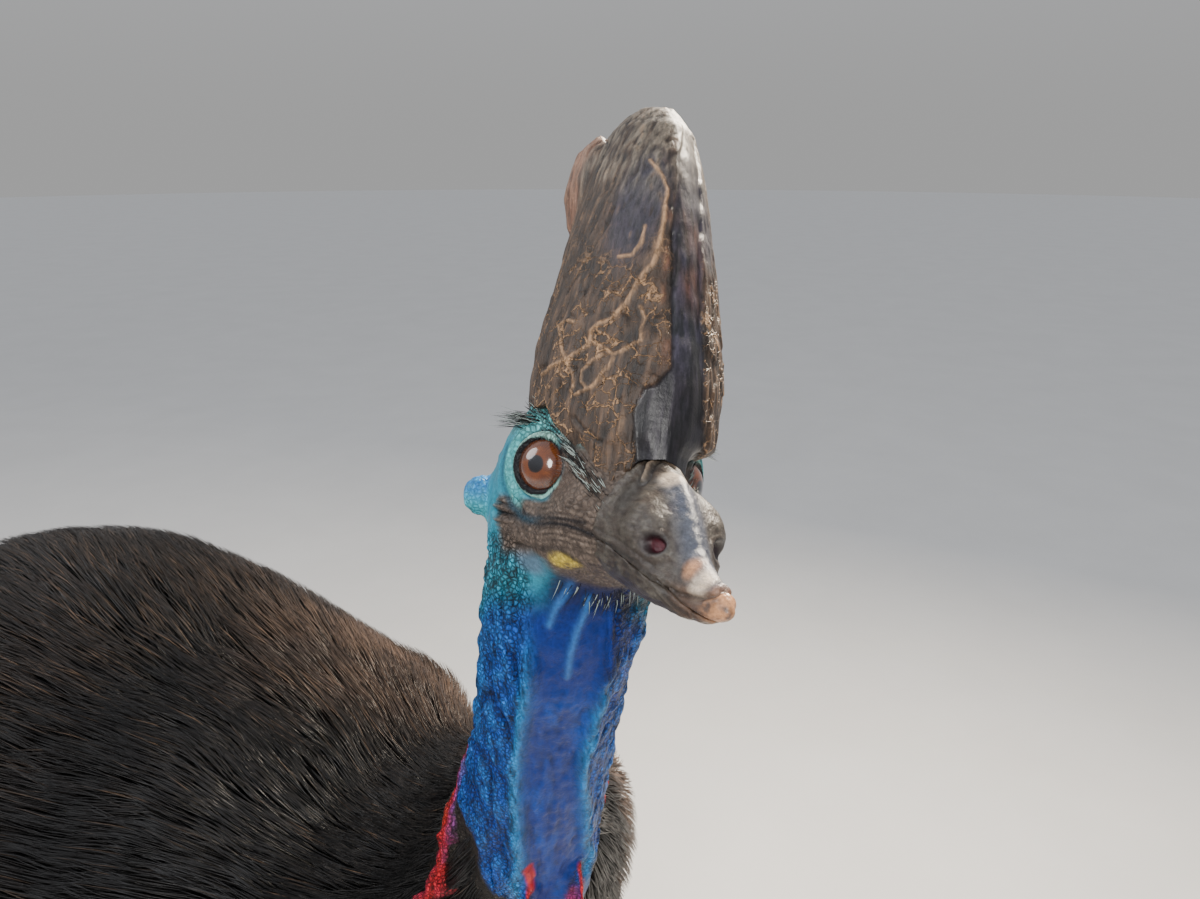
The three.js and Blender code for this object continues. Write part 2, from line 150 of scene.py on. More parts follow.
def from_line(places, line):
    """Each place's distance from a line of points, and how far along the line that is, from 0 to 1."""
    best = np.full(len(places), np.inf)
    along = np.zeros(len(places))
    for i, (start, end) in enumerate(zip(line, line[1:])):
        step = end - start
        share = np.clip((places - start) @ step / (step @ step), 0, 1)
        away = lengths(places - start - share[:, None] * step)
        nearer = away < best
        best[nearer] = away[nearer]
        along[nearer] = (i + share[nearer]) / (len(line) - 1)
    return best, along


def seen_at(pixels, tree):
    """Where the camera sees these photo pixels on a solid. Pixels that miss it are left out."""
    turned = camera.matrix_world.to_3x3()
    found = []
    for across, down in pixels:
        aside, up = (across - PHOTO_WIDTH / 2) / FOCAL_PX, (PHOTO_HEIGHT / 2 - down) / FOCAL_PX
        ray = turned @ Vector((aside, up, -1))
        hit = tree.ray_cast(camera.location, ray.normalized())[0]
        if hit is not None:
            found.append(hit)
    return np.array(found)


def on_head(pixels, tree):
    """A photo line in the head's frame, drawn on its right side, with x made positive for both sides."""
    pixels = np.array(pixels, float)
    steps = np.linspace(0, len(pixels) - 1, PIXEL_STEPS * (len(pixels) - 1) + 1)
    drawn = np.stack([np.interp(steps, range(len(pixels)), pixels[:, k]) for k in (0, 1)], 1)
    line = to_head(seen_at(drawn, tree))
    return line * (-1, 1, 1)


# %% [markdown]
# ## Meshes in and out of numpy
# Sculpting moves many vertices at once, so small helpers read a mesh's places and normals as arrays,
# write them back, and keep a colour or a number at each vertex for the materials.


# %% Mesh helpers
MERGED_WITHIN = 1e-5


def link(name, mesh):
    piece = bpy.data.objects.new(name, mesh)
    bpy.context.scene.collection.objects.link(piece)
    return piece


def meshed(name, work):
    """A mesh from a bmesh, which is freed."""
    mesh = bpy.data.meshes.new(name)
    work.to_mesh(mesh)
    work.free()
    return mesh


def places_of(mesh):
    flat = np.empty(len(mesh.vertices) * 3, np.float32)
    mesh.vertices.foreach_get("co", flat)
    return flat.reshape(-1, 3).astype(float)


def normals_of(mesh):
    flat = np.empty(len(mesh.vertices) * 3, np.float32)
    mesh.vertex_normals.foreach_get("vector", flat)
    return flat.reshape(-1, 3).astype(float)


def place(mesh, places):
    mesh.vertices.foreach_set("co", np.ascontiguousarray(places, np.float32).ravel())
    mesh.update()


def colour(mesh, name, tints):
    """Keeps a colour at each vertex, for the material's Attribute node."""
    layer = mesh.color_attributes.new(name, "FLOAT_COLOR", "POINT")
    whole = np.concatenate([tints, np.ones((len(tints), 1))], 1)
    layer.data.foreach_set("color", np.ascontiguousarray(whole, np.float32).ravel())


def number(mesh, name, values):
    mesh.attributes.new(name, "FLOAT", "POINT").data.foreach_set("value", np.asarray(values, np.float32))


def smooth_shaded(mesh):
    mesh.polygons.foreach_set("use_smooth", np.ones(len(mesh.polygons), bool))


def applied(piece):
    """The piece with its modifiers made real."""
    shown = piece.evaluated_get(bpy.context.evaluated_depsgraph_get())
    mesh = bpy.data.meshes.new_from_object(shown)
    piece.modifiers.clear()
    old = piece.data
    piece.data = mesh
    bpy.data.meshes.remove(old)
    return piece


def grown_copies(name, node_names, grow):
    """Copies of CAD nodes in one object, merged and grown a little so that they overlap."""
    whole = bmesh.new()
    for node in node_names:
        part = bmesh.new()
        part.from_mesh(NODES[node].data)
        bmesh.ops.remove_doubles(part, verts=part.verts, dist=MERGED_WITHIN)
        part.normal_update()
        for vert in part.verts:
            vert.co += vert.normal * grow
        loose = meshed("part", part)
        whole.from_mesh(loose)
        bpy.data.meshes.remove(loose)
    return link(name, meshed(name, whole))


def remeshed(piece, voxel, smoothing):
    """The piece as one even surface, smoothed a number of times."""
    remesh = piece.modifiers.new("even", "REMESH")
    remesh.mode = "VOXEL"
    remesh.voxel_size = voxel
    soften = piece.modifiers.new("soften", "SMOOTH")
    soften.factor = 0.5
    soften.iterations = smoothing
    return applied(piece)


def tree_of(mesh):
    faces = [tuple(face.vertices) for face in mesh.polygons]
    return BVHTree.FromPolygons([vert.co for vert in mesh.vertices], faces)


def blended(weight, colour_low, colour_high):
    """A mix of two colours by a weight at each vertex."""
    weight = np.clip(weight, 0, 1)[:, None]
    return (1 - weight) * np.asarray(colour_low) + weight * np.asarray(colour_high)


# %% [markdown]
# ## The base of the skin
# On the bird one skin runs from the bill to the toes. The flesh solids are copied, grown until they
# overlap, and remeshed as one even surface, which also rounds off their facets. The eyeballs close the
# sockets, and a copy of the casque's foot carries the skin that covers it.

# %% Remesh the flesh
FLESH = sorted(name for name in NODES if not name.startswith(("casque", "bill", "claw", "eye")))
OVERLAP = 0.4 * MM
SKIN_VOXEL = 4.5 * MM
EYES = ["eye_left", "eye_right"]
SKIN_EDGE_FRONT = ((0, -17, 18), (0, -0.64, 0.766))
SKIN_EDGE_BACK = ((0, -5, 27), (0, 0.12, 0.99))
COVER = 1.5 * MM


def beyond_skin(head_places):
    """Millimetres above the slanted line where the skin on the casque ends."""
    planes = (SKIN_EDGE_FRONT, SKIN_EDGE_BACK)
    return np.maximum(*[(head_places - np.array(point)) @ np.array(up) for point, up in planes])


def casque_foot():
    """The casque's foot, below the slanted line to which skin covers the horn, grown by the skin's depth."""
    foot = grown_copies("foot", ["casque"], COVER)
    work = bmesh.new()
    work.from_mesh(foot.data)
    for point, up in (SKIN_EDGE_FRONT, SKIN_EDGE_BACK):
        whole = work.verts[:] + work.edges[:] + work.faces[:]
        spot, way = Vector(from_head(point)), Vector(HEAD_TURNED @ up)
        cut = bmesh.ops.bisect_plane(work, geom=whole, plane_co=spot, plane_no=way, clear_outer=True)
        rim = [part for part in cut["geom_cut"] if isinstance(part, bmesh.types.BMEdge)]
        bmesh.ops.contextual_create(work, geom=rim)
    bmesh.ops.recalc_face_normals(work, faces=work.faces)
    work.to_mesh(foot.data)
    work.free()
    return foot


def joined(name, pieces):
    """One object from several, which are removed."""
    whole = bmesh.new()
    for piece in pieces:
        whole.from_mesh(piece.data)
        bpy.data.objects.remove(piece)
    return link(name, meshed(name, whole))


flesh = joined("outer", [grown_copies("flesh", FLESH + EYES, OVERLAP), casque_foot()])
outer = remeshed(flesh, SKIN_VOXEL, 8)
outer_places = places_of(outer.data)
print("outer surface:", len(outer_places), "vertices")

# %% [markdown]
# ## Where the plumes grow
# The solids go out to the tips of the plumage, so the skin lies inside them by the coat's depth: deep on
# the trunk, less on the drumsticks, none on bare skin. On the neck the plumes end in a slanted border,
# low in front and higher at the sides.

# %% Coat depth
TRUNK_DEPTH, THIGH_DEPTH, NECK_DEPTH = 34 * MM, 22 * MM, 5 * MM
DRUMSTICK_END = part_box("tarsus_left")[1][2]
NECK_FRONT = np.array((-0.469, -0.883))
NECK_LEFT = np.array((0.883, -0.469))
NECK_REACH = 0.12
NECK_STOPS = np.array([middle(f"neck_{i}") for i in (4, 3, 2, 1)])
THROAT_ASIDE, THROAT_TWIST = 8, 16
STRIP_HEIGHTS, STRIP_ANGLES = (1.018, 1.035, 1.06, 1.081, 1.12), (59, 69, 84, 106, 115)
FRONT_BORDER, BACK_BORDER = 0.965, 1.055
STRIP_DROP, STRIP_ENDS = 0.08, (0.995, 1.045)


def neck_middle(height):
    """The middle of the neck at a height, from the boxes of its lengths."""
    return np.stack([np.interp(height, NECK_STOPS[:, 2], NECK_STOPS[:, k]) for k in range(3)], 1)


def neck_angle(places):
    """Degrees round the neck from the throat, positive to the bird's left. The throat turns with the head."""
    away = (places - neck_middle(places[:, 2]))[:, :2]
    angle = np.degrees(np.arctan2(away @ NECK_LEFT, away @ NECK_FRONT))
    angle += THROAT_ASIDE + THROAT_TWIST * opened(1.03, 1.17, places[:, 2])
    return (angle + 180) % 360 - 180


def strip_away(places):
    """Degrees from the red fleshy strip that runs down each side of the nape, negative towards the throat."""
    return np.abs(neck_angle(places)) - np.interp(places[:, 2], STRIP_HEIGHTS, STRIP_ANGLES)


def below_border(places):
    """How far each place lies below the ragged line on the neck where the plumes begin, in metres."""
    angle, height, off_strip = neck_angle(places), places[:, 2], strip_away(places)
    front = FRONT_BORDER + 0.075 * opened(8, 27, np.abs(angle)) + 0.044 * opened(30, 66, np.abs(angle))
    behind = opened(-5, 5, off_strip)
    border = front * (1 - behind) + BACK_BORDER * behind
    strip_end = np.where(angle < 0, *STRIP_ENDS)
    border -= STRIP_DROP * np.exp(-((off_strip / 5) ** 2)) * opened(strip_end, strip_end + 0.015, height)
    off_neck = lengths((places - neck_middle(height))[:, :2]) > NECK_REACH
    return np.where(off_neck, 1, border - height)


def coat_depth(places):
    """How deep the coat is over each place on the outer surface, in metres."""
    height = places[:, 2]
    leg = THIGH_DEPTH * opened(DRUMSTICK_END - 0.004, DRUMSTICK_END + 0.08, height)
    trunk = leg + (TRUNK_DEPTH - leg) * opened(0.53, 0.62, height)
    below = below_border(places)
    neck = np.where(below > 0, NECK_DEPTH * opened(0, 0.02, below), 0)
    return np.minimum(trunk, neck + TRUNK_DEPTH * opened(0.01, 0.15, below))


def evened(mesh, values, rounds):
    """Each vertex's value mixed with its neighbours', again and again."""
    ends = np.empty(len(mesh.edges) * 2, np.int32)
    mesh.edges.foreach_get("vertices", ends)
    one, two = ends.reshape(-1, 2).T
    count = np.bincount(ends, minlength=len(values)).astype(float)
    table = values.reshape(len(values), -1).astype(float)
    for _ in range(rounds):
        total = [
            np.bincount(one, table[two, k], len(table)) + np.bincount(two, table[one, k], len(table))
            for k in range(table.shape[1])
        ]
        table = 0.5 * table + 0.5 * np.stack(total, 1) / np.maximum(count, 1)[:, None]
    return table.reshape(values.shape)


print("plumes begin above", round(DRUMSTICK_END, 3), "m")

# %% [markdown]
# ## A softer outline
# The wattles are bare, so the depth fades out near them. Where the coat is thick its outline is softened,
# most at the sides, where loose plumes hide the steps between the solids. The tips of the plumes will
# follow this surface.

# %% Soften the outline of the coat
WATTLES_AT, WATTLES_REACH, FAR_OFF = (-0.095, -0.47, 0.98), (0.06, 0.06, 0.1), 99.0
SOFTENING = ((70, 0.0, 0.05), (400, 0.13, 0.19))

wattles = grown_copies("wattles", ["wattle_left", "wattle_right"], 0)
wattle_tree = tree_of(wattles.data)
bpy.data.objects.remove(wattles)


def from_wattle(places):
    """Each place's distance from the nearer wattle, in millimetres."""
    away = np.full(len(places), FAR_OFF)
    near = np.flatnonzero((np.abs(places - WATTLES_AT) < WATTLES_REACH).all(1))
    away[near] = [wattle_tree.find_nearest(spot)[3] / MM for spot in places[near]]
    return away


bare_depth = coat_depth(outer_places) * opened(2, 6, from_wattle(outer_places))
outer_depth = evened(outer.data, bare_depth, 4)
for rounds, low, high in SOFTENING:
    softened = evened(outer.data, outer_places, rounds)
    share = opened(6 * MM, 20 * MM, outer_depth) * opened(0.56, 0.64, outer_places[:, 2])
    share *= opened(low, high, np.abs(outer_places[:, 0]))
    outer_places += (softened - outer_places) * share[:, None]
place(outer.data, outer_places)
outer_tree = tree_of(outer.data)
print("plumed vertices:", int((outer_depth > MM).sum()))

# %% [markdown]
# ## The shape before the eyes, and the lines of the face
# A cassowary looks past its bill: the head is drawn in before the eyes, and the nostrils sit in a
# swelling. One function makes these corrections, so all pieces of the head still meet. The folds are read
# off the picture as pixels and laid on the right side of the head.

# %% Shape of the face and its lines
GAPE_PX = [(497, 512), (510, 514), (521, 517), (535, 523), (553, 523), (567, 525), (581, 530), (596, 537)]
GAPE_PX += [(612, 546), (630, 559), (647, 573), (662, 591), (674, 605), (687, 614)]
UPPER_FOLD_PX = [(500, 503), (514, 510), (531, 515), (549, 517), (567, 519), (585, 523)]
JAW_FOLD_PX = [(514, 545), (540, 549), (560, 549), (578, 563)]
BORDER_PX = [(530, 393), (544, 410), (560, 416), (569, 434), (576, 441), (589, 455), (603, 480), (612, 505)]
THROAT_CORDS_PX = [
    [(584, 566), (576, 580), (566, 594), (556, 608), (549, 626)],
    [(589, 600), (584, 616), (577, 634), (571, 655), (568, 680)],
]
WATTLE_TOPS_PX = [
    [(528, 868), (530, 878), (532, 888), (533, 899)],
    [(580, 866), (581, 876), (582, 887), (581, 899)],
]
ROOT_NARROWED, LORE_NEAR, LORE_FAR = 0.27, 0.08, 0.36
NASAL_NEAR, NASAL_FAR = 3.0, 6.0


def shaped(head_places):
    """The head drawn in before the eyes and at the bill's root, and swollen at the nostrils. The photo
    shows more of this on the bird's left, where the far eye looks past the bill."""
    x, y, z = head_places.T
    root = opened(-34, -50, y) * opened(-100, -78, y) * opened(-24, -4, z) * opened(16, 6, z)
    lores = opened(-8, -24, y) * opened(-48, -34, y) * opened(-16, -3, z) * opened(15, 5, z)
    narrow = (1 - ROOT_NARROWED * root) * (1 - np.where(x > 0, LORE_FAR, LORE_NEAR) * lores)
    off_nasal = lengths(np.stack([np.abs(x) - 11, y + 71, 1.1 * (z + 15)], 1))
    swell = opened(17, 3, off_nasal) * opened(1, 8, np.abs(x)) * np.where(x > 0, NASAL_FAR, -NASAL_NEAR)
    return np.stack([x * narrow + swell, y, z], 1)


def shape_piece(piece):
    """Gives a piece of the head the corrections above."""
    place(piece.data, from_head(shaped(to_head(places_of(piece.data)))))


def mirrored(head_places):
    """The same places with x made positive, so that one drawn line serves both sides."""
    return np.abs(head_places * (1, 0, 0)) + head_places * (0, 1, 1)


seen = grown_copies("seen", ["head", "neck_1", "casque", "bill_upper", "bill_lower"], 0)
shape_piece(seen)
seen_tree = tree_of(seen.data)
horn_copy = grown_copies("horn_copy", ["casque"], 0)
shape_piece(horn_copy)
horn_tree = tree_of(horn_copy.data)
for helper in (seen, horn_copy):
    bpy.data.objects.remove(helper)
gape, upper_fold, jaw_fold, border = (
    on_head(pixels, seen_tree) for pixels in (GAPE_PX, UPPER_FOLD_PX, JAW_FOLD_PX, BORDER_PX)
)
print("gape line:", len(gape), "points")

# %% [markdown]
# ## Moving the skin in under the coat
# Every plumed vertex moves inwards by its depth and is smoothed there. Nobody sees that skin, so the
# Decimate modifier leaves it far coarser faces, held off bare skin and the wattles' roots by a vertex
# group.

# %% Skin under the coat
SKIN_LEFT = 0.150
WEIGHT_STEP = 0.1
ROOTS_ROUND, ROOTS_FROM, ROOTS_BELOW = 42, 1.02, 0.03

skin = link("skin", outer.data.copy())
sunk = outer_places - normals_of(outer.data) * outer_depth[:, None]
settled = evened(skin.data, sunk, 12)
plumed_share = opened(2 * MM, 8 * MM, outer_depth)[:, None]
place(skin.data, sunk + (settled - sunk) * plumed_share)
wattle_roots = np.abs(neck_angle(outer_places)) < ROOTS_ROUND
wattle_roots &= (outer_places[:, 2] > ROOTS_FROM) & (below_border(outer_places) < ROOTS_BELOW)
plumed_share[wattle_roots] = 0

group = skin.vertex_groups.new(name="plumed")
for share in np.linspace(WEIGHT_STEP, 1, 10):
    inside = np.flatnonzero((plumed_share[:, 0] > share - WEIGHT_STEP) & (plumed_share[:, 0] <= share))
    group.add(inside.tolist(), float(share), "REPLACE")
coarser = skin.modifiers.new("coarser", "DECIMATE")
coarser.vertex_group = "plumed"
coarser.ratio = SKIN_LEFT
applied(skin)
skin.vertex_groups.clear()
shape_piece(skin)
print("skin, decimated:", len(skin.data.vertices), "vertices")

# %% [markdown]
# ## The skin's own unwrap
# A baked picture has the same number of pixels whether a face shows or not. For the unwrap the skin is
# therefore drawn larger where it shows and smaller under the plumes, and then gets its true places back.

# %% Unwrap the skin
FACE_CENTRE = np.array((0, 0, -10))
HIDDEN_SIZE, SHANK_MORE, NECK_MORE, FACE_MORE = 0.35, 0.45, 0.55, 1.6
FEET_PIVOT, PIVOT_CHANGE = (0, 0.05, 0.2), 0.7

true_places = places_of(skin.data)
up_high = true_places[:, 2]
from_face = lengths(to_head(true_places) - FACE_CENTRE) * MM
enlarge = HIDDEN_SIZE + SHANK_MORE * opened(0.55, 0.45, up_high) + NECK_MORE * opened(0.9, 0.98, up_high)
enlarge += FACE_MORE * opened(0.16, 0.10, from_face)
pivot = np.where(up_high[:, None] > PIVOT_CHANGE, HEAD_ORIGIN, FEET_PIVOT)
place(skin.data, pivot + (true_places - pivot) * enlarge[:, None])
bpy.context.view_layer.objects.active = skin
skin.select_set(True)
bpy.ops.object.mode_set(mode="EDIT")
bpy.ops.mesh.select_all(action="SELECT")
bpy.ops.uv.smart_project(angle_limit=math.radians(70), island_margin=0.003)
bpy.ops.object.mode_set(mode="OBJECT")
skin.select_set(False)
skin.data.uv_layers.active.name = "OFBake"
place(skin.data, true_places)
print("unwrapped:", [layer.name for layer in skin.data.uv_layers])

# %% [markdown]
# ## Finer faces where skin is bare
# Folds a fraction of a millimetre wide need small faces, but small faces everywhere would be millions. So
# bare skin is divided zone by zone, most on the face, round the eyes and along the gape.

# %% Divide the bare skin
LID_ZONE, FACE_ZONE, GAPE_ZONE, WATTLE_TOP_ZONE = 5.5, 82, 6, 9
THROAT_HALF, THROAT_FROM = 48, 1.03


def side_eye(side):
    """The centre of an eyeball and the way it looks, in the head's frame, on side 1 (left) or -1."""
    look = np.array((side * math.sin(EYE_AXIS), -math.cos(EYE_AXIS), 0))
    return np.array((side * EYE_SIDE, EYE_BACK, -EYE_DROP)), look


def near_lids(head_places):
    """How far each place is from the nearer eyeball's surface, in millimetres."""
    away = [lengths(head_places - side_eye(side)[0]) for side in (1, -1)]
    return np.minimum(*away) - EYE_RADIUS


def divide(mesh, chosen):
    """Cuts the faces with all corners chosen into four."""
    work = bmesh.new()
    work.from_mesh(mesh)
    work.verts.ensure_lookup_table()
    edges = [edge for edge in work.edges if chosen[edge.verts[0].index] and chosen[edge.verts[1].index]]
    bmesh.ops.subdivide_edges(work, edges=edges, cuts=1, use_grid_fill=True, smooth=0.6)
    work.to_mesh(mesh)
    work.free()


def in_zone(zone, places):
    """Which places lie in a zone of the bare skin."""
    head_places = to_head(places)
    off_face = lengths(head_places - FACE_CENTRE)
    if zone == "neck":
        return (below_border(places) < 0.02) | (from_wattle(places) < 3)
    if zone == "throat":
        front = (np.abs(neck_angle(places)) < THROAT_HALF) & (places[:, 2] > THROAT_FROM)
        return front & (off_face > FACE_ZONE) & (below_border(places) < 0.012)
    if zone == "wattle_tops":
        return np.minimum(*[from_line(head_places, line)[0] for line in wattle_tops]) < WATTLE_TOP_ZONE
    if zone == "face":
        return (off_face < FACE_ZONE) & (beyond_skin(head_places) < -0.8)
    if zone == "lids":
        return near_lids(head_places) < LID_ZONE
    return (from_line(mirrored(head_places), gape)[0] < GAPE_ZONE) & (near_lids(head_places) > LID_ZONE)


wattle_tops = [to_head(seen_at(pixels, outer_tree)) for pixels in WATTLE_TOPS_PX]
for zone in ("neck", "throat", "wattle_tops", "face", "lids", "gape"):
    chosen = in_zone(zone, places_of(skin.data))
    divide(skin.data, chosen)
    print("divided for the", zone + ":", int(chosen.sum()), "vertices")
print("skin, divided:", len(skin.data.vertices), "vertices")

# %% [markdown]
# ## The ear swelling and the edge on the casque
# The swelling that holds the ear is a ball in life, so its vertices move to one distance from its middle.
# On the casque the skin is laid on the horn with less and less thickness, and beyond its edge it dips
# under.

# %% Ear and edge
EAR_CENTRE, EAR_ROUND = np.array((44.5, 57, -19)), 9.4
EDGE_BAND, EDGE_REACH, EDGE_BACK_Y = (-10, 4), 3, 70
EDGE_THICK, EDGE_DIP = 1.1, 1.4

spots = to_head(places_of(skin.data))
off_centre = mirrored(spots) - EAR_CENTRE
reach = lengths(off_centre)
share = opened(13.5, 10.5, reach) * opened(-3, 2, off_centre[:, 0])
sides = np.sign(spots[:, :1]) * (1, 0, 0) + (0, 1, 1)
spots += sides * off_centre * ((EAR_ROUND / np.maximum(reach, 1) - 1) * share)[:, None]
place(skin.data, from_head(spots))

spots = to_head(places_of(skin.data))
beyond = beyond_skin(spots)
in_band = (beyond > EDGE_BAND[0]) & (beyond < EDGE_BAND[1]) & (np.abs(spots[:, 1]) < EDGE_BACK_Y)
for i in np.flatnonzero(in_band):
    near, up, _, away = horn_tree.find_nearest(Vector(from_head(spots[i])))
    if near is None or away > EDGE_REACH * MM:
        continue
    near, up = to_head(near), HEAD_TURNED.T @ np.array(up)
    thickness = EDGE_THICK * opened(0, -6, beyond[i]) - EDGE_DIP * opened(-2, 1, beyond[i])
    share = opened(-10, -7, beyond[i]) * opened(3, 1.8, away / MM)
    spots[i] += (near + up * thickness - spots[i]) * share
place(skin.data, from_head(spots))
print("edge on the casque:", int(in_band.sum()), "vertices")

# %% [markdown]
# ## Lids
# Round each eye lie a thin black rim, a pale band, a dark groove and a swollen ring, all circles round
# the way the eye looks. Each vertex moves to the distance from the eyeball's centre that its angle asks
# for, and inside the opening it goes in behind the eyeball, so no hole has to be cut.

# %% Sculpt the lids
OPENING = 38.5
PAST_OPENING = {-1.5: 13.5, 0: 16.5, 2: 18.4, 4: 18.1, 6: 18.7, 9: 18.6, 11: 17.8, 13: 18.2, 19: 20.2}
PAST_OPENING |= {27: 20.1, 34: 19.0, 40: 18.2}
LID_PROFILE = {0: 13} | {OPENING + angle: reach for angle, reach in PAST_OPENING.items()}
LID_END = OPENING + 38
RIM_REACH = 17.4
RIM_OUT, RIM_UP = RIM_REACH * math.sin(math.radians(OPENING)), RIM_REACH * math.cos(math.radians(OPENING))


def round_eye(head_places, side):
    """For one eye: each place's distance from its centre, its angle from the way it looks, and how far
    round that way it lies: 0 towards the bill, 90 up, 180 towards the nape, -90 down."""
    centre, look = side_eye(side)
    away = head_places - centre
    reach = lengths(away)
    forward = np.cross(look, (0, 0, 1)) * side
    angle = np.degrees(np.arccos(np.clip(away @ look / np.maximum(reach, 1e-6), -1, 1)))
    return reach, angle, np.degrees(np.arctan2(away[:, 2], away @ forward))


spots = to_head(places_of(skin.data))
for side in (1, -1):
    centre, look = side_eye(side)
    reach, angle, turn = round_eye(spots, side)
    wanted = np.interp(angle, list(LID_PROFILE), list(LID_PROFILE.values()))
    brow = opened(50, 0, np.abs(turn - 80)) * opened(OPENING + 2, OPENING + 14, angle)
    bill_side = opened(-125, -75, turn) * opened(78, 40, turn)
    wanted += 0.9 * brow + 1.3 * opened(75, 130, np.abs(turn)) * opened(OPENING + 13, OPENING + 20, angle)
    share = opened(LID_END, LID_END - 16, angle) * opened(36, 28, reach)
    share *= 1 - bill_side * opened(OPENING + 9, OPENING + 21, angle)
    moved = centre + (spots - centre) * (wanted / np.maximum(reach, 1))[:, None]
    spots = spots + (moved - spots) * share[:, None]
place(skin.data, from_head(spots))
print("lids: opening", round(2 * EYE_RADIUS * math.sin(math.radians(OPENING)), 1), "mm across")

# %% [markdown]
# ## Folds of the face
# The gape runs from under the eye into the bill, with a finer fold over it and fine lines beside it. The
# distance to a drawn line, measured with x made positive, cuts the same fold into both cheeks.

# %% Gape, folds and grain of the face
NOT_THIS_SIDE = 400


def groove(distance, width):
    return np.exp(-((distance / width) ** 2))


def sculpt(mesh, heights):
    """Raises each vertex along its normal by its height in millimetres."""
    place(mesh, places_of(mesh) + normals_of(mesh) * heights[:, None] * MM)


def snapped(line):
    """A drawn line moved onto the skin as it now is."""
    on_right = line * (-1, 1, 1)
    found = [to_head(lidded_tree.find_nearest(Vector(from_head(spot)))[0]) for spot in on_right]
    return np.array(found) * (-1, 1, 1)


def from_two(places, two_lines):
    """Each place's distance from the nearer of two drawn lines on the skin."""
    return np.minimum(*[from_line(places, to_head(seen_at(pixels, lidded_tree)))[0] for pixels in two_lines])


smooth_shaded(skin.data)
spots = to_head(places_of(skin.data))
one_side = mirrored(spots)
lid_angle = np.minimum(
    round_eye(spots, 1)[1] + NOT_THIS_SIDE * (spots[:, 0] < 0),
    round_eye(spots, -1)[1] + NOT_THIS_SIDE * (spots[:, 0] > 0),
)
lidded_tree = tree_of(skin.data)
gape_away = from_line(one_side, snapped(gape))[0]
fold_away, jaw_away, border_away = (
    from_line(one_side, snapped(line))[0] for line in (upper_fold, jaw_fold, border)
)
throat_cords = from_two(spots, THROAT_CORDS_PX)
wattle_cords = from_two(spots, WATTLE_TOPS_PX)

on_face = opened(75, 60, lengths(spots - (0, 0, -5)))
on_face *= opened(LID_END - 16, LID_END, lid_angle)
heights = -2.6 * groove(gape_away, 0.9) + 1.3 * groove(gape_away - 2.9, 1.5)
heights += -1.5 * groove(fold_away, 0.8) + 0.7 * groove(fold_away - 2, 1.1) - 1.6 * groove(jaw_away, 1.3)
lines = np.sin(gape_away * 2.6 + 2.2 * soft_noise(spots, 9, 3))
heights += 0.40 * lines * opened(14, 5, gape_away)
heights += 0.22 * soft_noise(spots, 1.7, 4) + 0.45 * soft_noise(spots, 4.5, 5)
sculpt(skin.data, heights * on_face)
print("face folds: deepest", round(float(-heights.min()), 1), "mm")

# %% [markdown]
# ## The roots of the wattles
# Each wattle starts as a narrow ridge and widens as it hangs, but the solids are wide at the root. The
# vertices there are drawn towards the wattle's middle line and evened out, so that no hard edge stays.

# %% Narrow the wattles
THROAT_FOLD = 24
WATTLE_HALF, NARROWED = 16, 0.80
NECK_FROM = 0.88

place_now = places_of(skin.data)
spots = to_head(place_now)
one_side = mirrored(spots)
side_x, back_y, high_z = one_side.T
height = place_now[:, 2]
round_neck = np.abs(neck_angle(place_now))
below = below_border(place_now)
on_neck = opened(-42, -62, high_z) * opened(0.03, -0.01, below) * (height > NECK_FROM)
wattle_away = from_wattle(place_now)

hang = np.zeros((len(place_now), 1))
pull = opened(6, 2, wattle_away)
free = np.ones(len(place_now), bool)
for name in ("wattle_left", "wattle_right"):
    offset = (place_now - middle(name))[:, :2] @ NECK_LEFT / MM
    chosen = free & (np.abs(offset) < WATTLE_HALF)
    narrow = NARROWED * opened(0.965, 1.03, height) * opened(1.056, 1.034, height) * pull * chosen
    hang[:, 0] += -offset * narrow
    free &= ~chosen
place_now = place_now + hang * np.append(NECK_LEFT, 0) * MM
rooted = opened(10, 4, wattle_away) * opened(1.01, 1.03, height)
place_now += (evened(skin.data, place_now, 24) - place_now) * rooted[:, None]
place(skin.data, place_now)
wattle_away = wattle_away + (np.minimum(wattle_away, 1) - wattle_away) * pull
print("wattle roots: widest pull", round(float(np.abs(hang).max()), 1), "mm")

# %% [markdown]
# ## Folds and warts of the neck
# The throat is a hollow with upright wrinkles between two long folds. Warts grow towards the nape, where
# two fleshy strips swell into beads, and behind the eye stand papillae. Each field is kept for the
# colours.

# %% Relief of neck and ear
long_noise = soft_noise(place_now * (1, 1, 0.28), 5 * MM, 11)
valley = groove(soft_noise(place_now * (1, 1, 0.24), 9 * MM, 19), 0.20)
wart_noise = soft_noise(place_now, 4.2 * MM, 12)
bead_noise = soft_noise(place_now, 6 * MM, 18)
upright_noise = soft_noise(place_now * (1, 1, 0.14), 2.6 * MM, 26)
warts = np.clip(wart_noise + 0.25, 0, 1) ** 0.6
off_strip = strip_away(place_now)
caruncle = groove(off_strip, 7) * opened(1.14, 1.10, height) * opened(0.985, 1.0, height)
nape = opened(0, 8, off_strip) * opened(1.15, 1.11, height)
in_throat = opened(THROAT_FOLD, THROAT_FOLD - 8, round_neck)
not_wattle = opened(2, 7, wattle_away)

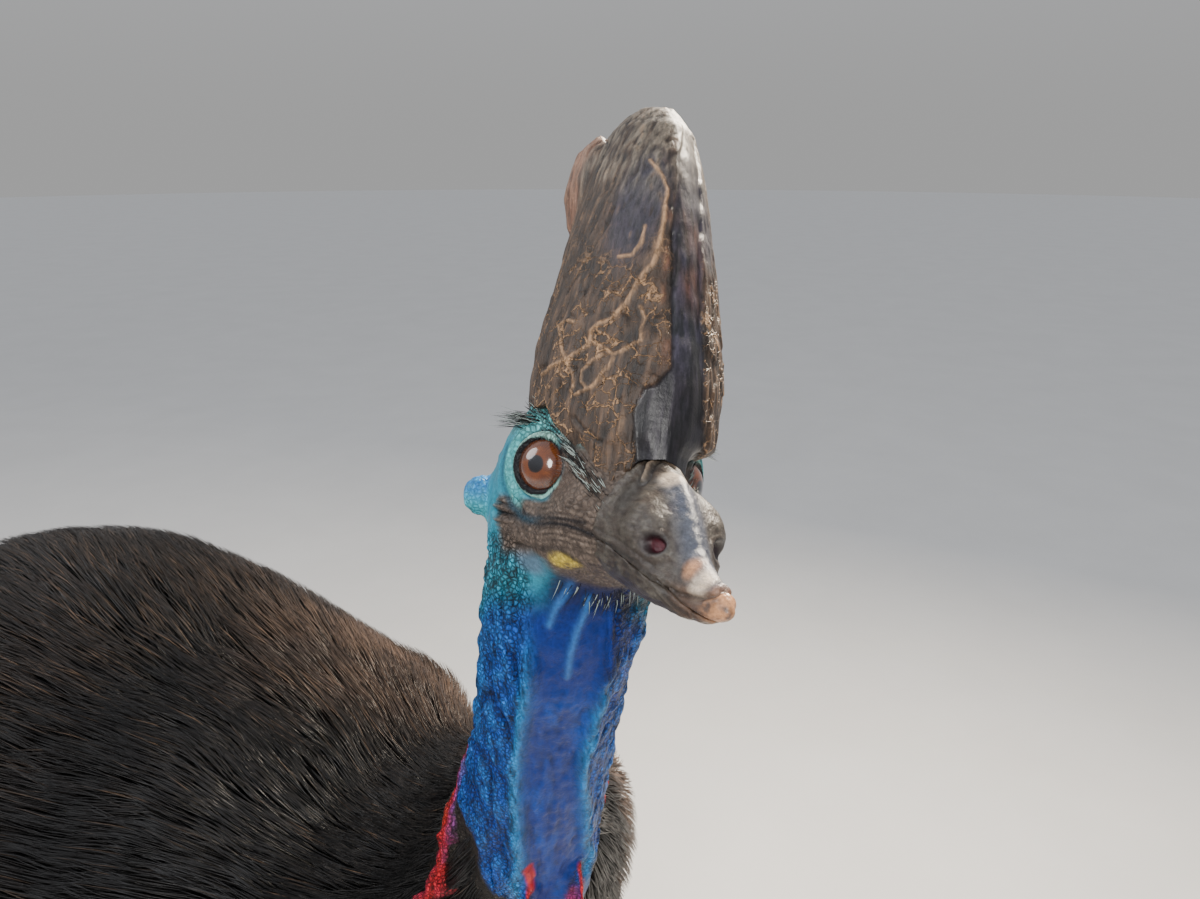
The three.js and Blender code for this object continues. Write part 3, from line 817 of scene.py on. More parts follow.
fold = groove(round_neck - THROAT_FOLD, 7) * opened(1.24, 1.2, height)
hollow = opened(THROAT_FOLD, THROAT_FOLD - 10, round_neck) * opened(1.27, 1.22, height)
heights = 3.6 * fold - 2.8 * hollow + (1.4 * long_noise - 1.8 * valley) * opened(8, 30, round_neck)
heights += (0.6 + 1.3 * opened(25, 70, round_neck)) * warts
heights += caruncle * (3.2 + 3.4 * np.clip(bead_noise, -0.4, 1)) + 1.2 * nape * warts
heights += 1.6 * groove(throat_cords, 2.2) * opened(60, 40, back_y)
heights += 0.7 * upright_noise * in_throat
heights = heights * on_neck * not_wattle
heights += 1.6 * groove(wattle_cords, 2.0)
wattle_lumps = soft_noise(place_now * (1, 1, 0.5), 6 * MM, 14)
heights += (1 - not_wattle) * (0.9 * wattle_lumps + 0.5 * wart_noise)

EAR_MIDDLE = (45, 58, -19)
jaw_below = opened(-36, -44, high_z) * opened(-62, -50, high_z)
jaw_below *= opened(10, -12, back_y) * opened(26, 16, side_x)
heights -= 2.5 * jaw_below
papillae = opened(-28, -36, high_z) * opened(-66, -56, high_z)
papillae *= opened(2, 12, back_y) * opened(60, 44, back_y)
papilla_noise = soft_noise(spots, 3.0, 15)
off_ear = lengths(one_side - EAR_MIDDLE)
heights += 0.45 * opened(17, 12, off_ear) * soft_noise(spots, 2.0, 9)
heights += papillae * (1.3 * np.clip(papilla_noise + 0.2, 0, 1) - 0.3)
print("papillae:", int((papillae > 0).sum()), "vertices")

# %% [markdown]
# ## Colours of the neck
# A cassowary's colours are in its skin: blue with paler warts, a dark throat, a red nape. The narrow
# valleys are darker too, a painted shade. Each area is a soft field over the vertices, laid on from the
# widest to the smallest.

# %% Colours of the neck
BLUE, DEEP_BLUE, PALE_BLUE = (0.006, 0.062, 0.31), (0.0035, 0.018, 0.135), (0.022, 0.17, 0.50)
THROAT_BLUE, FOLD_BLUE, NAVY = (0.006, 0.045, 0.26), (0.022, 0.20, 0.44), (0.0025, 0.007, 0.040)
TEAL = (0.022, 0.19, 0.27)
RED, ORANGE = (0.40, 0.012, 0.014), (0.50, 0.07, 0.025)


def painted(tint, *coats):
    """The colour at each vertex with more colours laid over it, each given as its weight and itself."""
    for weight, shade in coats:
        tint = blended(weight, tint, shade)
    return tint


throat_dark = opened(THROAT_FOLD + 3, THROAT_FOLD - 7, round_neck)
tint = painted(
    np.tile(BLUE, (len(spots), 1)),
    (0.75 * opened(45, 95, round_neck) * opened(1.10, 1.24, height), TEAL),
    (0.55 * opened(0.2, 0.9, warts) * opened(20, 40, round_neck), PALE_BLUE),
    # darker in the sculpted valleys: a painted shade
    (0.85 * valley * opened(18, 34, round_neck), DEEP_BLUE),
    (0.95 * throat_dark, DEEP_BLUE),
    (0.40 * in_throat * opened(0.3, -0.5, long_noise), BLUE),
    (0.45 * in_throat * opened(0.1, 0.9, upright_noise), THROAT_BLUE),
    (0.55 * in_throat * opened(-0.1, -0.9, upright_noise), NAVY),
    (0.85 * groove(round_neck - THROAT_FOLD, 4.0) * opened(1.24, 1.2, height), FOLD_BLUE),
    (nape, RED),
    (0.6 * nape * opened(0, 0.8, wart_noise), ORANGE),
    (caruncle, RED),
)
print("neck colours:", len(tint), "vertices")

# %% [markdown]
# ## Colours of the side of the head
# Turquoise lies behind the eye and grows bluer down the neck. The cheek and the space before the eye are
# grey-brown and grainy, with a yellow mark below the gape. The folds are black in their depth, a painted
# shade. Under the jaw the throat is deep blue, partly its own colour and partly painted shade, and navy
# further under, a painted shade.

# %% Colours of the side of the head
TURQUOISE, PALE_TEAL = (0.07, 0.33, 0.35), (0.03, 0.30, 0.44)
SLATE, CORD_BLUE, PAPILLA_DARK = (0.08, 0.11, 0.16), (0.03, 0.13, 0.36), (0.012, 0.05, 0.07)
EAR_LOW, EAR_HIGH, EAR_SPECKLE = (0.05, 0.33, 0.40), (0.02, 0.17, 0.42), (0.10, 0.42, 0.50)
SLATE_AT = (33, 0, -42)

face = opened(-66, -48, high_z + 0.25 * np.clip(back_y, 0, 60))
ear = opened(17, 10, off_ear)
# the throat under the jaw: deep blue, partly its own colour and partly painted shade
throat = opened(-38, -46, high_z) * opened(24, 14, side_x) * opened(34, 16, back_y)
# further under the jaw: navy, a painted shade
shade_under_jaw = opened(-70, -52, high_z) * opened(28, 20, side_x) * opened(40, 20, back_y)
shade_under_jaw *= opened(-40, -46, high_z)
below_ear = face * opened(24, 44, back_y) * opened(-10, -34, high_z)
slate = opened(13, 5, lengths((one_side - SLATE_AT) * (1, 1, 1.4)))
tint = painted(
    tint,
    (face, TEAL),
    (below_ear * opened(-0.5, 0.6, papilla_noise), PALE_TEAL),
    (face * opened(38, 60, back_y) * opened(-45, -25, high_z), TURQUOISE),
    (ear, blended(opened(-26, -14, high_z), EAR_LOW, EAR_HIGH)),
    (0.5 * ear * opened(0, 0.9, soft_noise(spots, 1.6, 8)), EAR_SPECKLE),
    (throat, DEEP_BLUE),
    (0.85 * shade_under_jaw, NAVY),
    (0.75 * groove(throat_cords, 1.7) * opened(60, 40, back_y), CORD_BLUE),
    (0.8 * slate, SLATE),
    (0.75 * papillae * opened(0.25, -0.5, papilla_noise), PAPILLA_DARK),
)

GREY_BROWN, DARK_GRAIN, PALE_GRAIN = (0.098, 0.073, 0.058), (0.020, 0.015, 0.013), (0.22, 0.175, 0.14)
YELLOW, BLACK = (0.42, 0.31, 0.05), (0.006, 0.006, 0.008)
YELLOW_AT = (24, -21, -39)

speckle = soft_noise(spots, 2.4, 16) + 0.6 * soft_noise(spots, 1.2, 17)
cheek = opened(21, 14, back_y) * opened(-42, -36, high_z + 0.14 * back_y)
before_eye = opened(-4, -14, back_y) * opened(30, 20, high_z)
grain = np.clip(cheek * opened(-15.5, -18, high_z) + before_eye, 0, 1) * face
yellow = opened(8.5, 3.5, lengths((one_side - YELLOW_AT) * (0.8, 0.8, 1.7)))
along_gape = np.sin(gape_away * 2.6 + 2.2 * soft_noise(spots, 9, 3)) * opened(16, 6, gape_away)
tint = painted(
    tint,
    (grain, GREY_BROWN),
    (0.45 * grain * opened(0.2, -0.9, speckle), DARK_GRAIN),
    (yellow * opened(-0.8, 0.1, speckle), YELLOW),
    (0.5 * grain * opened(0.1, 0.9, -along_gape), DARK_GRAIN),
    (0.35 * grain * opened(0.2, 1, along_gape) * opened(-0.4, 0.6, speckle), PALE_GRAIN),
    # black in the gape, the fold over it and the fold under the jaw: painted shade in their depth
    (0.97 * groove(gape_away, 1.25) * opened(48, 34, back_y), BLACK),
    (0.85 * groove(fold_away, 0.9), BLACK),
    (0.6 * groove(jaw_away, 1.2), BLACK),
)
print("yellow mark:", int((yellow > 0).sum()), "vertices")

# %% [markdown]
# ## Colours of the brow and the lids
# The brow is a duller teal, darker and finely specked along the casque. Round each eye the colours follow
# the lids, as fields of the distance from the rim of the opening and of the way round it. The groove
# outside the pale band and the foot of the swollen ring, below and behind the eye, are darkened, a
# painted shade.

# %% Colours of the brow and the lids
BROW_TEAL, BROW_DARK = (0.085, 0.30, 0.31), (0.02, 0.05, 0.055)
CASQUE_EDGE_DARK, PALE_SPECK = (0.02, 0.018, 0.018), (0.30, 0.42, 0.42)
RING_PALE, RING_DARK = (0.30, 0.54, 0.48), (0.03, 0.17, 0.20)
MINT, BAND_DARK = (0.25, 0.46, 0.40), (0.12, 0.28, 0.26)
# the colours of the lid's groove and of the swollen ring's foot are painted shade
LID_GROOVE_SHADE, RING_FOOT_SHADE = (0.012, 0.035, 0.04), (0.015, 0.05, 0.075)
RIM_WIDTH, RING_OUT = 0.7, 12.5

brow = opened(4, 16, high_z) * opened(75, 40, back_y)
speck_noise = soft_noise(spots, 1.3, 20) - 0.3 * soft_noise(spots, 4, 7)
specks = opened(10, 3, border_away) * opened(0.75, 1.15, speck_noise)
tint = painted(
    tint,
    (brow, BROW_TEAL),
    (0.55 * brow * opened(0.15, -0.8, speckle), BROW_DARK),
    # darker along the skin's edge on the casque
    (0.75 * opened(9, 2, border_away) * opened(-0.3, 0.5, speckle), CASQUE_EDGE_DARK),
    (0.8 * specks, PALE_SPECK),
)
ringed = np.zeros(len(spots))
for side in (1, -1):
    reach, lid, turn = round_eye(spots, side)
    near = (reach < 34) & (spots[:, 0] * side > 0)
    out, up_look = reach * np.sin(np.radians(lid)), reach * np.cos(np.radians(lid))
    rim = np.hypot(out - RIM_OUT, up_look - RIM_UP)
    rim = np.where(lid < OPENING, -rim, rim)
    front = opened(-130, -105, turn) * opened(68, 40, turn)
    swollen = opened(RING_OUT, 9.5, rim) * (1 - front) * near
    ring_tint = blended(opened(10, 60, turn) * opened(170, 110, turn), TURQUOISE, BROW_TEAL)
    band = opened(3.7, 3.1, rim) * near * (1 - opened(52, 30, np.abs(turn - 14)))
    # the groove outside the pale band, darkened: a painted shade
    lid_groove_shade = groove(rim - 3.9, 0.45) * near * (1 - opened(50, 25, np.abs(turn - 12)))
    behind = np.where(turn > 100, turn - 360, turn)
    # the foot of the swollen ring, below and behind the eye, darkened: a painted shade
    ring_foot_shade = groove(rim - RING_OUT, 1.6) * near * opened(-60, -100, behind) * opened(-215, -190, behind)
    rim_wide = RIM_WIDTH + 1.7 * opened(50, 140, np.abs(turn - 30))
    tint = painted(
        tint,
        (swollen, ring_tint),
        (0.5 * swollen * opened(0.3, 1.3, speckle), RING_PALE),
        (0.4 * swollen * opened(-0.2, -1.2, speckle), RING_DARK),
        (band, MINT),
        (0.5 * band * opened(0.1, -0.6, speckle), BAND_DARK),
        (0.8 * lid_groove_shade, LID_GROOVE_SHADE),
        (0.7 * ring_foot_shade, RING_FOOT_SHADE),
        (opened(rim_wide + 0.3, rim_wide - 0.3, rim) * near, BLACK),
    )
    ringed += swollen
print("swollen rings:", int((ringed > 0).sum()), "vertices")

# %% [markdown]
# ## Colours of the wattles and legs
# The wattles are red and the legs grey, and the skin under the plumes is dark, a painted shade that fills
# the gaps between the strands. Three numbers at each vertex tell the material where scales, warts and
# upright cords belong, and the relief is cut into the mesh last.

# %% Colours of the wattles and legs
WATTLE_LIGHT, UNDER_PLUME_SHADE, LEG = (0.62, 0.07, 0.05), (0.02, 0.016, 0.013), (0.15, 0.135, 0.11)

red_wattle = opened(2.4, 1.0, wattle_away) * opened(1.040, 1.014, height + 0.003 * bead_noise)
red_wattle = red_wattle * (height > NECK_FROM)
red_wattle = np.maximum(red_wattle, 0.95 * opened(3.8, 1.2, wattle_cords + 0.9 * bead_noise))
plumed = opened(-2, 4, below * 1000) * (height > DRUMSTICK_END) * opened(1.5, 4, wattle_away)
tint = painted(
    tint,
    (red_wattle, RED),
    (0.5 * red_wattle * opened(0.1, 0.8, wart_noise), WATTLE_LIGHT),
    # dark under the plumes: a painted shade between the strands
    (plumed, UNDER_PLUME_SHADE),
    (opened(DRUMSTICK_END + 0.012, DRUMSTICK_END - 0.004, height), LEG),
)
sculpt(skin.data, heights)
colour(skin.data, "tint", tint)

low_neck = 0.9 * opened(-30, -50, high_z) * opened(THROAT_FOLD - 6, THROAT_FOLD + 6, round_neck)
warty = 0.7 * opened(3, 1, wattle_away) + low_neck + 0.35 * grain + 0.6 * brow + 0.6 * papillae
warty = np.clip(warty + 0.4 * ringed + 0.45 * ear, 0, 1) * (height > 0.9)
number(skin.data, "scaly", opened(DRUMSTICK_END + 0.03, DRUMSTICK_END, height))
number(skin.data, "warty", warty)
number(skin.data, "corded", on_neck * not_wattle * (1 - 0.85 * in_throat))
print("skin colours:", len(tint), "vertices")

# %% [markdown]
# ## The casque
# The casque is a tall keel of bone under worn layers of horn: brown flakes over a smooth dark keel, tan
# veins and cracks on its sides. A fine remesh of a copy of the solid is sculpted with lines from the
# photo.

# %% Lines of the casque
VEIN_PX = [(665, 207), (663, 224), (659, 249), (653, 265), (642, 276), (632, 293), (622, 309), (613, 318)]
VEIN_PX += [(600, 324), (592, 331), (588, 345), (578, 353), (569, 360), (555, 366), (542, 374)]
BRANCHES_PX = [
    [(592, 341), (603, 347), (613, 354), (622, 351), (634, 343), (642, 341)],
    [(613, 358), (609, 366), (601, 375), (594, 385), (584, 391), (575, 395)],
    [(603, 354), (592, 360), (582, 370), (582, 381), (586, 387)],
    [(559, 326), (561, 339), (565, 354), (569, 364), (573, 375), (573, 387)],
    [(559, 326), (567, 320), (575, 322)],
    [(645, 226), (642, 242), (632, 255), (619, 257)],
    [(665, 207), (668, 190), (662, 175), (650, 160)],
    [(642, 341), (640, 330), (645, 318), (640, 306)],
]
CRACKS_PX = [
    [(613, 207), (607, 224), (596, 243), (586, 259), (582, 270), (571, 286), (565, 297)],
    [(672, 232), (672, 250), (672, 284)],
    [(603, 129), (607, 144), (596, 176), (590, 196), (582, 215), (573, 238)],
    [(601, 442), (594, 439), (581, 428), (575, 418)],
]
KEEL_NEAR_PX = [(684, 125), (679, 160), (676, 200), (672, 242), (672, 284), (670, 330)]
KEEL_NEAR_PX += [(671, 366), (655, 384), (642, 388), (635, 407), (631, 439), (633, 462)]
KEEL_FAR_PX = [(698, 150), (702, 200), (703, 263), (704, 330), (705, 380), (704, 420), (702, 455)]
FLAKE_STEP_PX = [(642, 387), (632, 379), (624, 387), (619, 398), (614, 423), (603, 437), (601, 442)]
BLUE_PATCH_PX = [(638, 205), (639, 206)]
CASQUE_VOXEL = 0.95 * MM

casque = remeshed(grown_copies("casque_horn", ["casque"], 0.2 * MM), CASQUE_VOXEL, 20)
shape_piece(casque)
smooth_shaded(casque.data)
casque_tree = tree_of(casque.data)
spots = to_head(places_of(casque.data))
one_side = mirrored(spots)
side_x, back_y, high_z = spots.T


def edge_at(pixels, height):
    """Where a drawn edge lies across the head at each height."""
    line = to_head(seen_at(pixels, casque_tree))
    order = np.argsort(line[:, 2])
    return np.interp(height, line[order, 2], line[order, 0])


def drawn_on(lines, width):
    """A soft mask of the drawn lines that the camera sees on the casque, the same on both sides."""
    mask = np.zeros(len(spots))
    for line in (on_head(pixels, casque_tree) for pixels in lines):
        if len(line) > 1:
            mask = np.maximum(mask, groove(from_line(one_side, line)[0], width))
    return mask


vein = drawn_on([VEIN_PX], 0.85)
branches = drawn_on(BRANCHES_PX, 0.62)
veins = np.maximum(vein, 0.9 * branches)
cracks = drawn_on(CRACKS_PX, 0.8)
step = drawn_on([FLAKE_STEP_PX], 0.9)
print("casque:", len(spots), "vertices")

# %% [markdown]
# ## Relief of the horn
# Streaks run up the casque as drawn-out noise, the flakes stand over the keel, and growth lines cross it
# low down. Below the edge of the skin the horn is drawn in, where skin grows over it on the bird.

# %% Relief of the casque
SUNK = 4
stretched = spots * (1, 1, 0.12)
streaks = soft_noise(stretched, 2.2, 21) + 0.6 * soft_noise(stretched, 1.1, 22)
lumps = soft_noise(spots, 7, 23)
flakes = soft_noise(spots * (1, 1, 0.45), 5, 24)
ragged = 0.9 * flakes
near_edge, far_edge = edge_at(KEEL_NEAR_PX, high_z) + ragged, edge_at(KEEL_FAR_PX, high_z) - ragged
front = opened(6, -4, back_y)
keel = opened(-0.6, 0.6, side_x - near_edge) * opened(0.6, -0.6, side_x - far_edge) * front

heights = -1.0 * keel + 0.35 * streaks * (1 - 0.8 * keel) + 0.35 * lumps
heights += 0.8 * opened(0.0, 0.12, flakes) * (1 - keel) * opened(120, 60, high_z)
growth = keel * opened(44, 22, high_z) * np.sin(high_z * 2.1 + 0.012 * side_x**2 + 0.5 * lumps)
keel_grain = soft_noise(spots * (1, 1, 0.2), 3, 25)
heights += 0.9 * veins - 1.3 * cracks - 0.55 * step + 0.030 * growth + 0.12 * keel * keel_grain
heights *= 0.25 + 0.75 * opened(-3, 5, beyond_skin(spots))
sculpt(casque.data, heights)

raised = to_head(places_of(casque.data))
for point, up in (SKIN_EDGE_FRONT, SKIN_EDGE_BACK):
    deep = np.clip(-SUNK - (raised - np.array(point)) @ np.array(up), 0, None)
    deep[beyond_skin(raised) > -SUNK - 0.5 * deep] = 0
    raised += deep[:, None] * np.array(up)
    raised[:, 0] *= 1 - 0.5 * opened(0, 6, deep)
place(casque.data, from_head(raised))
print("keel", round(float((far_edge - near_edge).mean()), 1), "mm wide on average")

# %% [markdown]
# ## Colours of the horn
# The horn is brown in streaks, grey where the top is worn, with a blue-black patch and a dark keel, rusty
# at its near edge. The fields of the relief are used again, so a vein that stands out is also coloured.

# %% Colours of the casque
HORN_BROWN, HORN_DARK, HORN_TAN = (0.047, 0.028, 0.017), (0.011, 0.012, 0.016), (0.30, 0.175, 0.09)
HORN_GREY, HORN_BLUE, HORN_RUST = (0.15, 0.13, 0.10), (0.020, 0.019, 0.031), (0.13, 0.045, 0.020)
LUMP_RED, CRACK_DARK, STEP_DARK = (0.24, 0.115, 0.07), (0.012, 0.010, 0.009), (0.02, 0.017, 0.015)
LUMP_AT = (-16, 45, 130)

keel_middle = (near_edge + far_edge) / 2
blue_middle = on_head(BLUE_PATCH_PX, casque_tree)[0]
blue_patch = opened(18, 8, lengths((one_side - blue_middle) * (1, 1, 0.42)))
worn_top = opened(105, 140, high_z + 9 * lumps)
keel_tint = blended(opened(-0.6, 0.8, streaks), HORN_DARK, np.array(HORN_BLUE) * 1.3)
keel_tint = keel_tint * (1 - 0.5 * opened(48, 34, high_z))[:, None]
bare_keel = groove(side_x - keel_middle - 2, 5) * opened(60, 75, high_z)
bare_keel = bare_keel * opened(112, 96, high_z + 6 * lumps) * front
rust = groove(side_x - near_edge + 1.5, 1.6) * front * opened(-0.3, 0.5, lumps) * opened(30, 60, high_z)
lump_side = opened(24, 12, lengths((raised - LUMP_AT) * (1, 1, 0.55))) * opened(30, 38, back_y)
worn = opened(-1.0, 0.8, streaks + 0.6 * lumps)
tint = painted(
    blended(worn, np.array(HORN_BROWN) * 0.35, np.array(HORN_BROWN) * 1.35),
    (0.85 * blue_patch * opened(-1.3, -0.3, streaks), HORN_BLUE),
    (0.65 * worn_top * opened(-0.6, 0.6, streaks), HORN_GREY),
    (0.30 * opened(0.6, 1.1, streaks) * (1 - keel), HORN_TAN),
    (0.9 * keel * opened(128, 84, high_z + 12 * lumps), keel_tint),
    (0.55 * bare_keel * opened(-0.7, 0.5, flakes), HORN_RUST),
    (0.6 * rust, HORN_RUST),
    (0.6 * lump_side, LUMP_RED),
    (0.95 * veins * opened(-1.6, 0.0, streaks), np.array(HORN_TAN) * 1.15),
    (0.9 * cracks, CRACK_DARK),
    (0.8 * step, STEP_DARK),
)
colour(casque.data, "tint", tint)
low_side = opened(95, 60, high_z) * (0.35 + 0.65 * opened(-45, -30, back_y) * opened(45, 20, back_y))
net_shown = np.clip(low_side + 0.25 * opened(150, 90, high_z), 0, 1) * (1 - keel) * (1 - blue_patch)
number(casque.data, "polish", keel)
number(casque.data, "veined", net_shown)
print("blue patch:", int((blue_patch > 0).sum()), "vertices")

# %% [markdown]
# ## The bill
# The bill is horn over bone in two halves. A rounded plate lies over the foot of the casque, the nostril
# is an oval pit, and the tip is worn to a pale orange. A pale spot on the ridge and one on the nail are
# painted highlights, an orange spot beside the nail's is partly the tip's own colour and partly painted
# light, and a blue-grey streak along the ridge is a painted sheen. What only the upper half has is
# worked out by its own function.

# %% Details of the upper half
PLATE_PX = [(644, 480), (649, 464), (662, 457), (676, 459), (685, 469), (688, 480)]
# the third pixel here marks a painted highlight on the ridge
NOSTRIL_PX, SWELLING_PX, CULMEN_HIGHLIGHT_PX = (652, 543.4), (629, 498), (674, 478)
NAIL_PX = [(655, 580), (662, 586), (669, 591), (686, 596), (701, 598), (716, 596), (729, 591)]
# the nail's pale spot is a painted highlight; the orange spot beside it is partly painted light
NAIL_HIGHLIGHT_PX, NAIL_ORANGE_PX = (701, 583), (691, 568)
# the bill's blue-grey is a painted sheen on the ridge, and its pale a painted highlight on the nail
CULMEN_SHEEN, BILL_TIP_TINT, NAIL_HIGHLIGHT = (0.065, 0.085, 0.13), (0.50, 0.24, 0.11), (0.62, 0.50, 0.38)
PLATE_DARK, PLATE_PALE, SWELLING_DARK = (0.012, 0.010, 0.010), (0.30, 0.22, 0.15), (0.035, 0.033, 0.030)
# the first colour here is a painted highlight on the ridge
CULMEN_HIGHLIGHT, NAIL_DARK = (0.50, 0.40, 0.30), (0.03, 0.018, 0.012)
HOLE_DARK, HOLE_RED, HOLE_RIM = (0.012, 0.003, 0.005), (0.045, 0.001, 0.006), (0.03, 0.026, 0.026)


def upper_details(spots, own_tree, coarse):
    """The upper half's own heights, and its coats of colour under and over those of the tip."""
    one_side = mirrored(spots)
    side_x, back_y, high_z = spots.T
    plate_away = from_line(one_side, on_head(PLATE_PX, own_tree))[0]
    off_swelling = lengths(one_side - on_head([SWELLING_PX, SWELLING_PX], own_tree)[0])
    swelling = opened(11, 3, off_swelling)
    hole = on_head([NOSTRIL_PX, NOSTRIL_PX], own_tree)[0]
    off_hole = lengths((one_side - hole) * (0.8, 0.55, 1.0))
    culmen = opened(-60, -70, back_y) * opened(-40, -30, high_z + 0.3 * np.abs(side_x))
    nail_away = from_line(one_side, on_head(NAIL_PX, own_tree))[0]
    off_culmen_highlight, off_nail_highlight, off_orange = (
        lengths(spots - to_head(seen_at([pixel], own_tree))[0] + 0.8 * coarse[:, None])
        for pixel in (CULMEN_HIGHLIGHT_PX, NAIL_HIGHLIGHT_PX, NAIL_ORANGE_PX)
    )
    heights = [
        1.0 * groove(plate_away, 1.3) - 0.9 * groove(plate_away - 2.4, 1.0),
        1.0 * swelling,
        -3.4 * opened(3.8, 1.8, off_hole) + 0.45 * groove(off_hole - 4.8, 1.0),
        culmen * (1.5 * groove(side_x, 3.0) - 1.0 * groove(np.abs(side_x) - 7.5, 3.0)),
        0.5 * groove(nail_away - 2.2, 1.3) - 1.1 * groove(nail_away, 0.9),
    ]
    under_tip = [
        (0.8 * groove(plate_away - 2.4, 1.0), PLATE_DARK),
        (0.5 * groove(plate_away, 0.9), PLATE_PALE),
        # a blue-grey streak along the ridge: a painted sheen
        (0.55 * opened(9, 2, np.abs(side_x)) * opened(-60, -70, back_y), CULMEN_SHEEN),
        (0.6 * swelling, SWELLING_DARK),
        # a pale spot on the ridge: a painted highlight
        (0.8 * opened(7.5, 2.5, off_culmen_highlight), CULMEN_HIGHLIGHT),
        (opened(4.0, 2.8, off_hole), HOLE_DARK),
        (opened(2.6, 1.6, off_hole), HOLE_RED),
        (0.7 * groove(off_hole - 3.6, 0.7), HOLE_RIM),
    ]
    over_tip = [
        # a pale spot on the nail: a painted highlight
        (0.8 * opened(7.0, 2.0, off_nail_highlight), NAIL_HIGHLIGHT),
        # an orange spot beside it: partly the tip's own colour and partly painted light
        (0.8 * opened(5.5, 0.5, off_orange), BILL_TIP_TINT),
        (0.8 * groove(nail_away, 0.9), NAIL_DARK),
    ]
    return heights, under_tip, over_tip


# %% [markdown]
# ## The two halves of the bill
# Each half is a fine remesh of a copy of its solid, kept apart from the other, so the gape stays a real
# gap.

# %% Bill
BILL_GREY, BILL_BROWN, NEAR_TIP_TINT = (0.070, 0.060, 0.048), (0.036, 0.026, 0.020), (0.10, 0.055, 0.032)
GAPE_DARK, RIM_DARK = (0.02, 0.016, 0.014), (0.03, 0.024, 0.02)
BILL_VOXEL = 0.85 * MM

bills = {}
for name in ("bill_upper", "bill_lower"):
    piece = remeshed(grown_copies(name + "_horn", [name], 0.1 * MM), BILL_VOXEL, 14)
    shape_piece(piece)
    smooth_shaded(piece.data)
    own_tree = tree_of(piece.data)
    spots = to_head(places_of(piece.data))
    along = soft_noise(spots * (1, 0.2, 1), 1.3, 31)
    coarse, fine = soft_noise(spots, 5, 32), soft_noise(spots, 1.6, 33)
    back_y, high_z = spots[:, 1], spots[:, 2]
    tip = opened(-111, -119, back_y + 0.35 * (high_z + 36))
    near_tip = opened(-88, -104, back_y) * opened(-33, -36, high_z)
    gape_off = from_line(mirrored(spots), gape)[0]
    rim_line = groove(gape_off - 3.0, 0.7)
    heights = 0.16 * along + 0.35 * coarse + 0.12 * fine
    heights += 0.35 * groove(gape_off - 1.6, 1.0) - 0.35 * rim_line
    details, under_tip, over_tip = [], [], []
    if name == "bill_upper":
        details, under_tip, over_tip = upper_details(spots, own_tree, coarse)
    for height_of in details:
        heights += height_of
    tint = painted(
        blended(opened(-0.9, 0.9, along + 0.8 * coarse), BILL_BROWN, BILL_GREY),
        *under_tip,
        (0.7 * near_tip, NEAR_TIP_TINT),
        (0.85 * tip * opened(-0.9, 0.2, coarse + fine), BILL_TIP_TINT),
        *over_tip,
        (0.75 * groove(gape_off, 1.0), GAPE_DARK),
        (0.5 * rim_line, RIM_DARK),
    )
    sculpt(piece.data, heights)
    colour(piece.data, "tint", tint)
    number(piece.data, "polish", 0.5 + 0.5 * tip)
    bills[name] = piece
    print(name, "horn:", len(spots), "vertices")

# %% [markdown]
# ## Claws
# Each foot has three straight claws; the inner one is a spike as long as a hand, the bird's weapon. All
# six are fine copies of their solids, and the smoothing of the remesh thins their tips.

# %% Claws
CLAWS = sorted(name for name in NODES if name.startswith("claw"))
CLAW_VOXEL = 1.3 * MM
CLAW_DARK, CLAW_GREY, CLAW_TIP = (0.045, 0.036, 0.030), (0.12, 0.098, 0.078), (0.16, 0.13, 0.10)

claws = remeshed(grown_copies("claws", CLAWS, 0.25 * MM), CLAW_VOXEL, 6)
smooth_shaded(claws.data)
spots = places_of(claws.data)
low = spots[:, 2] / MM
ring_noise = soft_noise(spots * (1, 0.3, 1), 2.5 * MM, 41)
claw_tint = blended(opened(-0.8, 0.8, ring_noise), CLAW_DARK, CLAW_GREY)
colour(claws.data, "tint", painted(claw_tint, (0.5 * opened(7, 2, low), CLAW_TIP)))
number(claws.data, "polish", np.full(len(low), 0.4))
print("claws:", len(spots), "vertices")

# %% [markdown]
# ## Eyes
# Each eyeball is a sphere with its pole on the way the eye looks, so its rings of faces are rings of the
# iris. The cornea stands out a little in front, and a clear coat gives the wet shine.

# %% Eyes
IRIS_EDGE, PUPIL_EDGE = 40.0, 11.5
EYE_SHOWN, CORNEA_OUT = 16.6, 0.045
IRIS_RAYS = 46
IRIS_INNER, IRIS_OUTER = (0.120, 0.031, 0.007), (0.046, 0.012, 0.005)
FIBRE_LIGHT, FIBRE_DARK = (0.25, 0.075, 0.015), (0.045, 0.013, 0.006)
PUPIL_BLACK, EYE_EDGE = (0.004, 0.004, 0.006), (0.018, 0.008, 0.005)

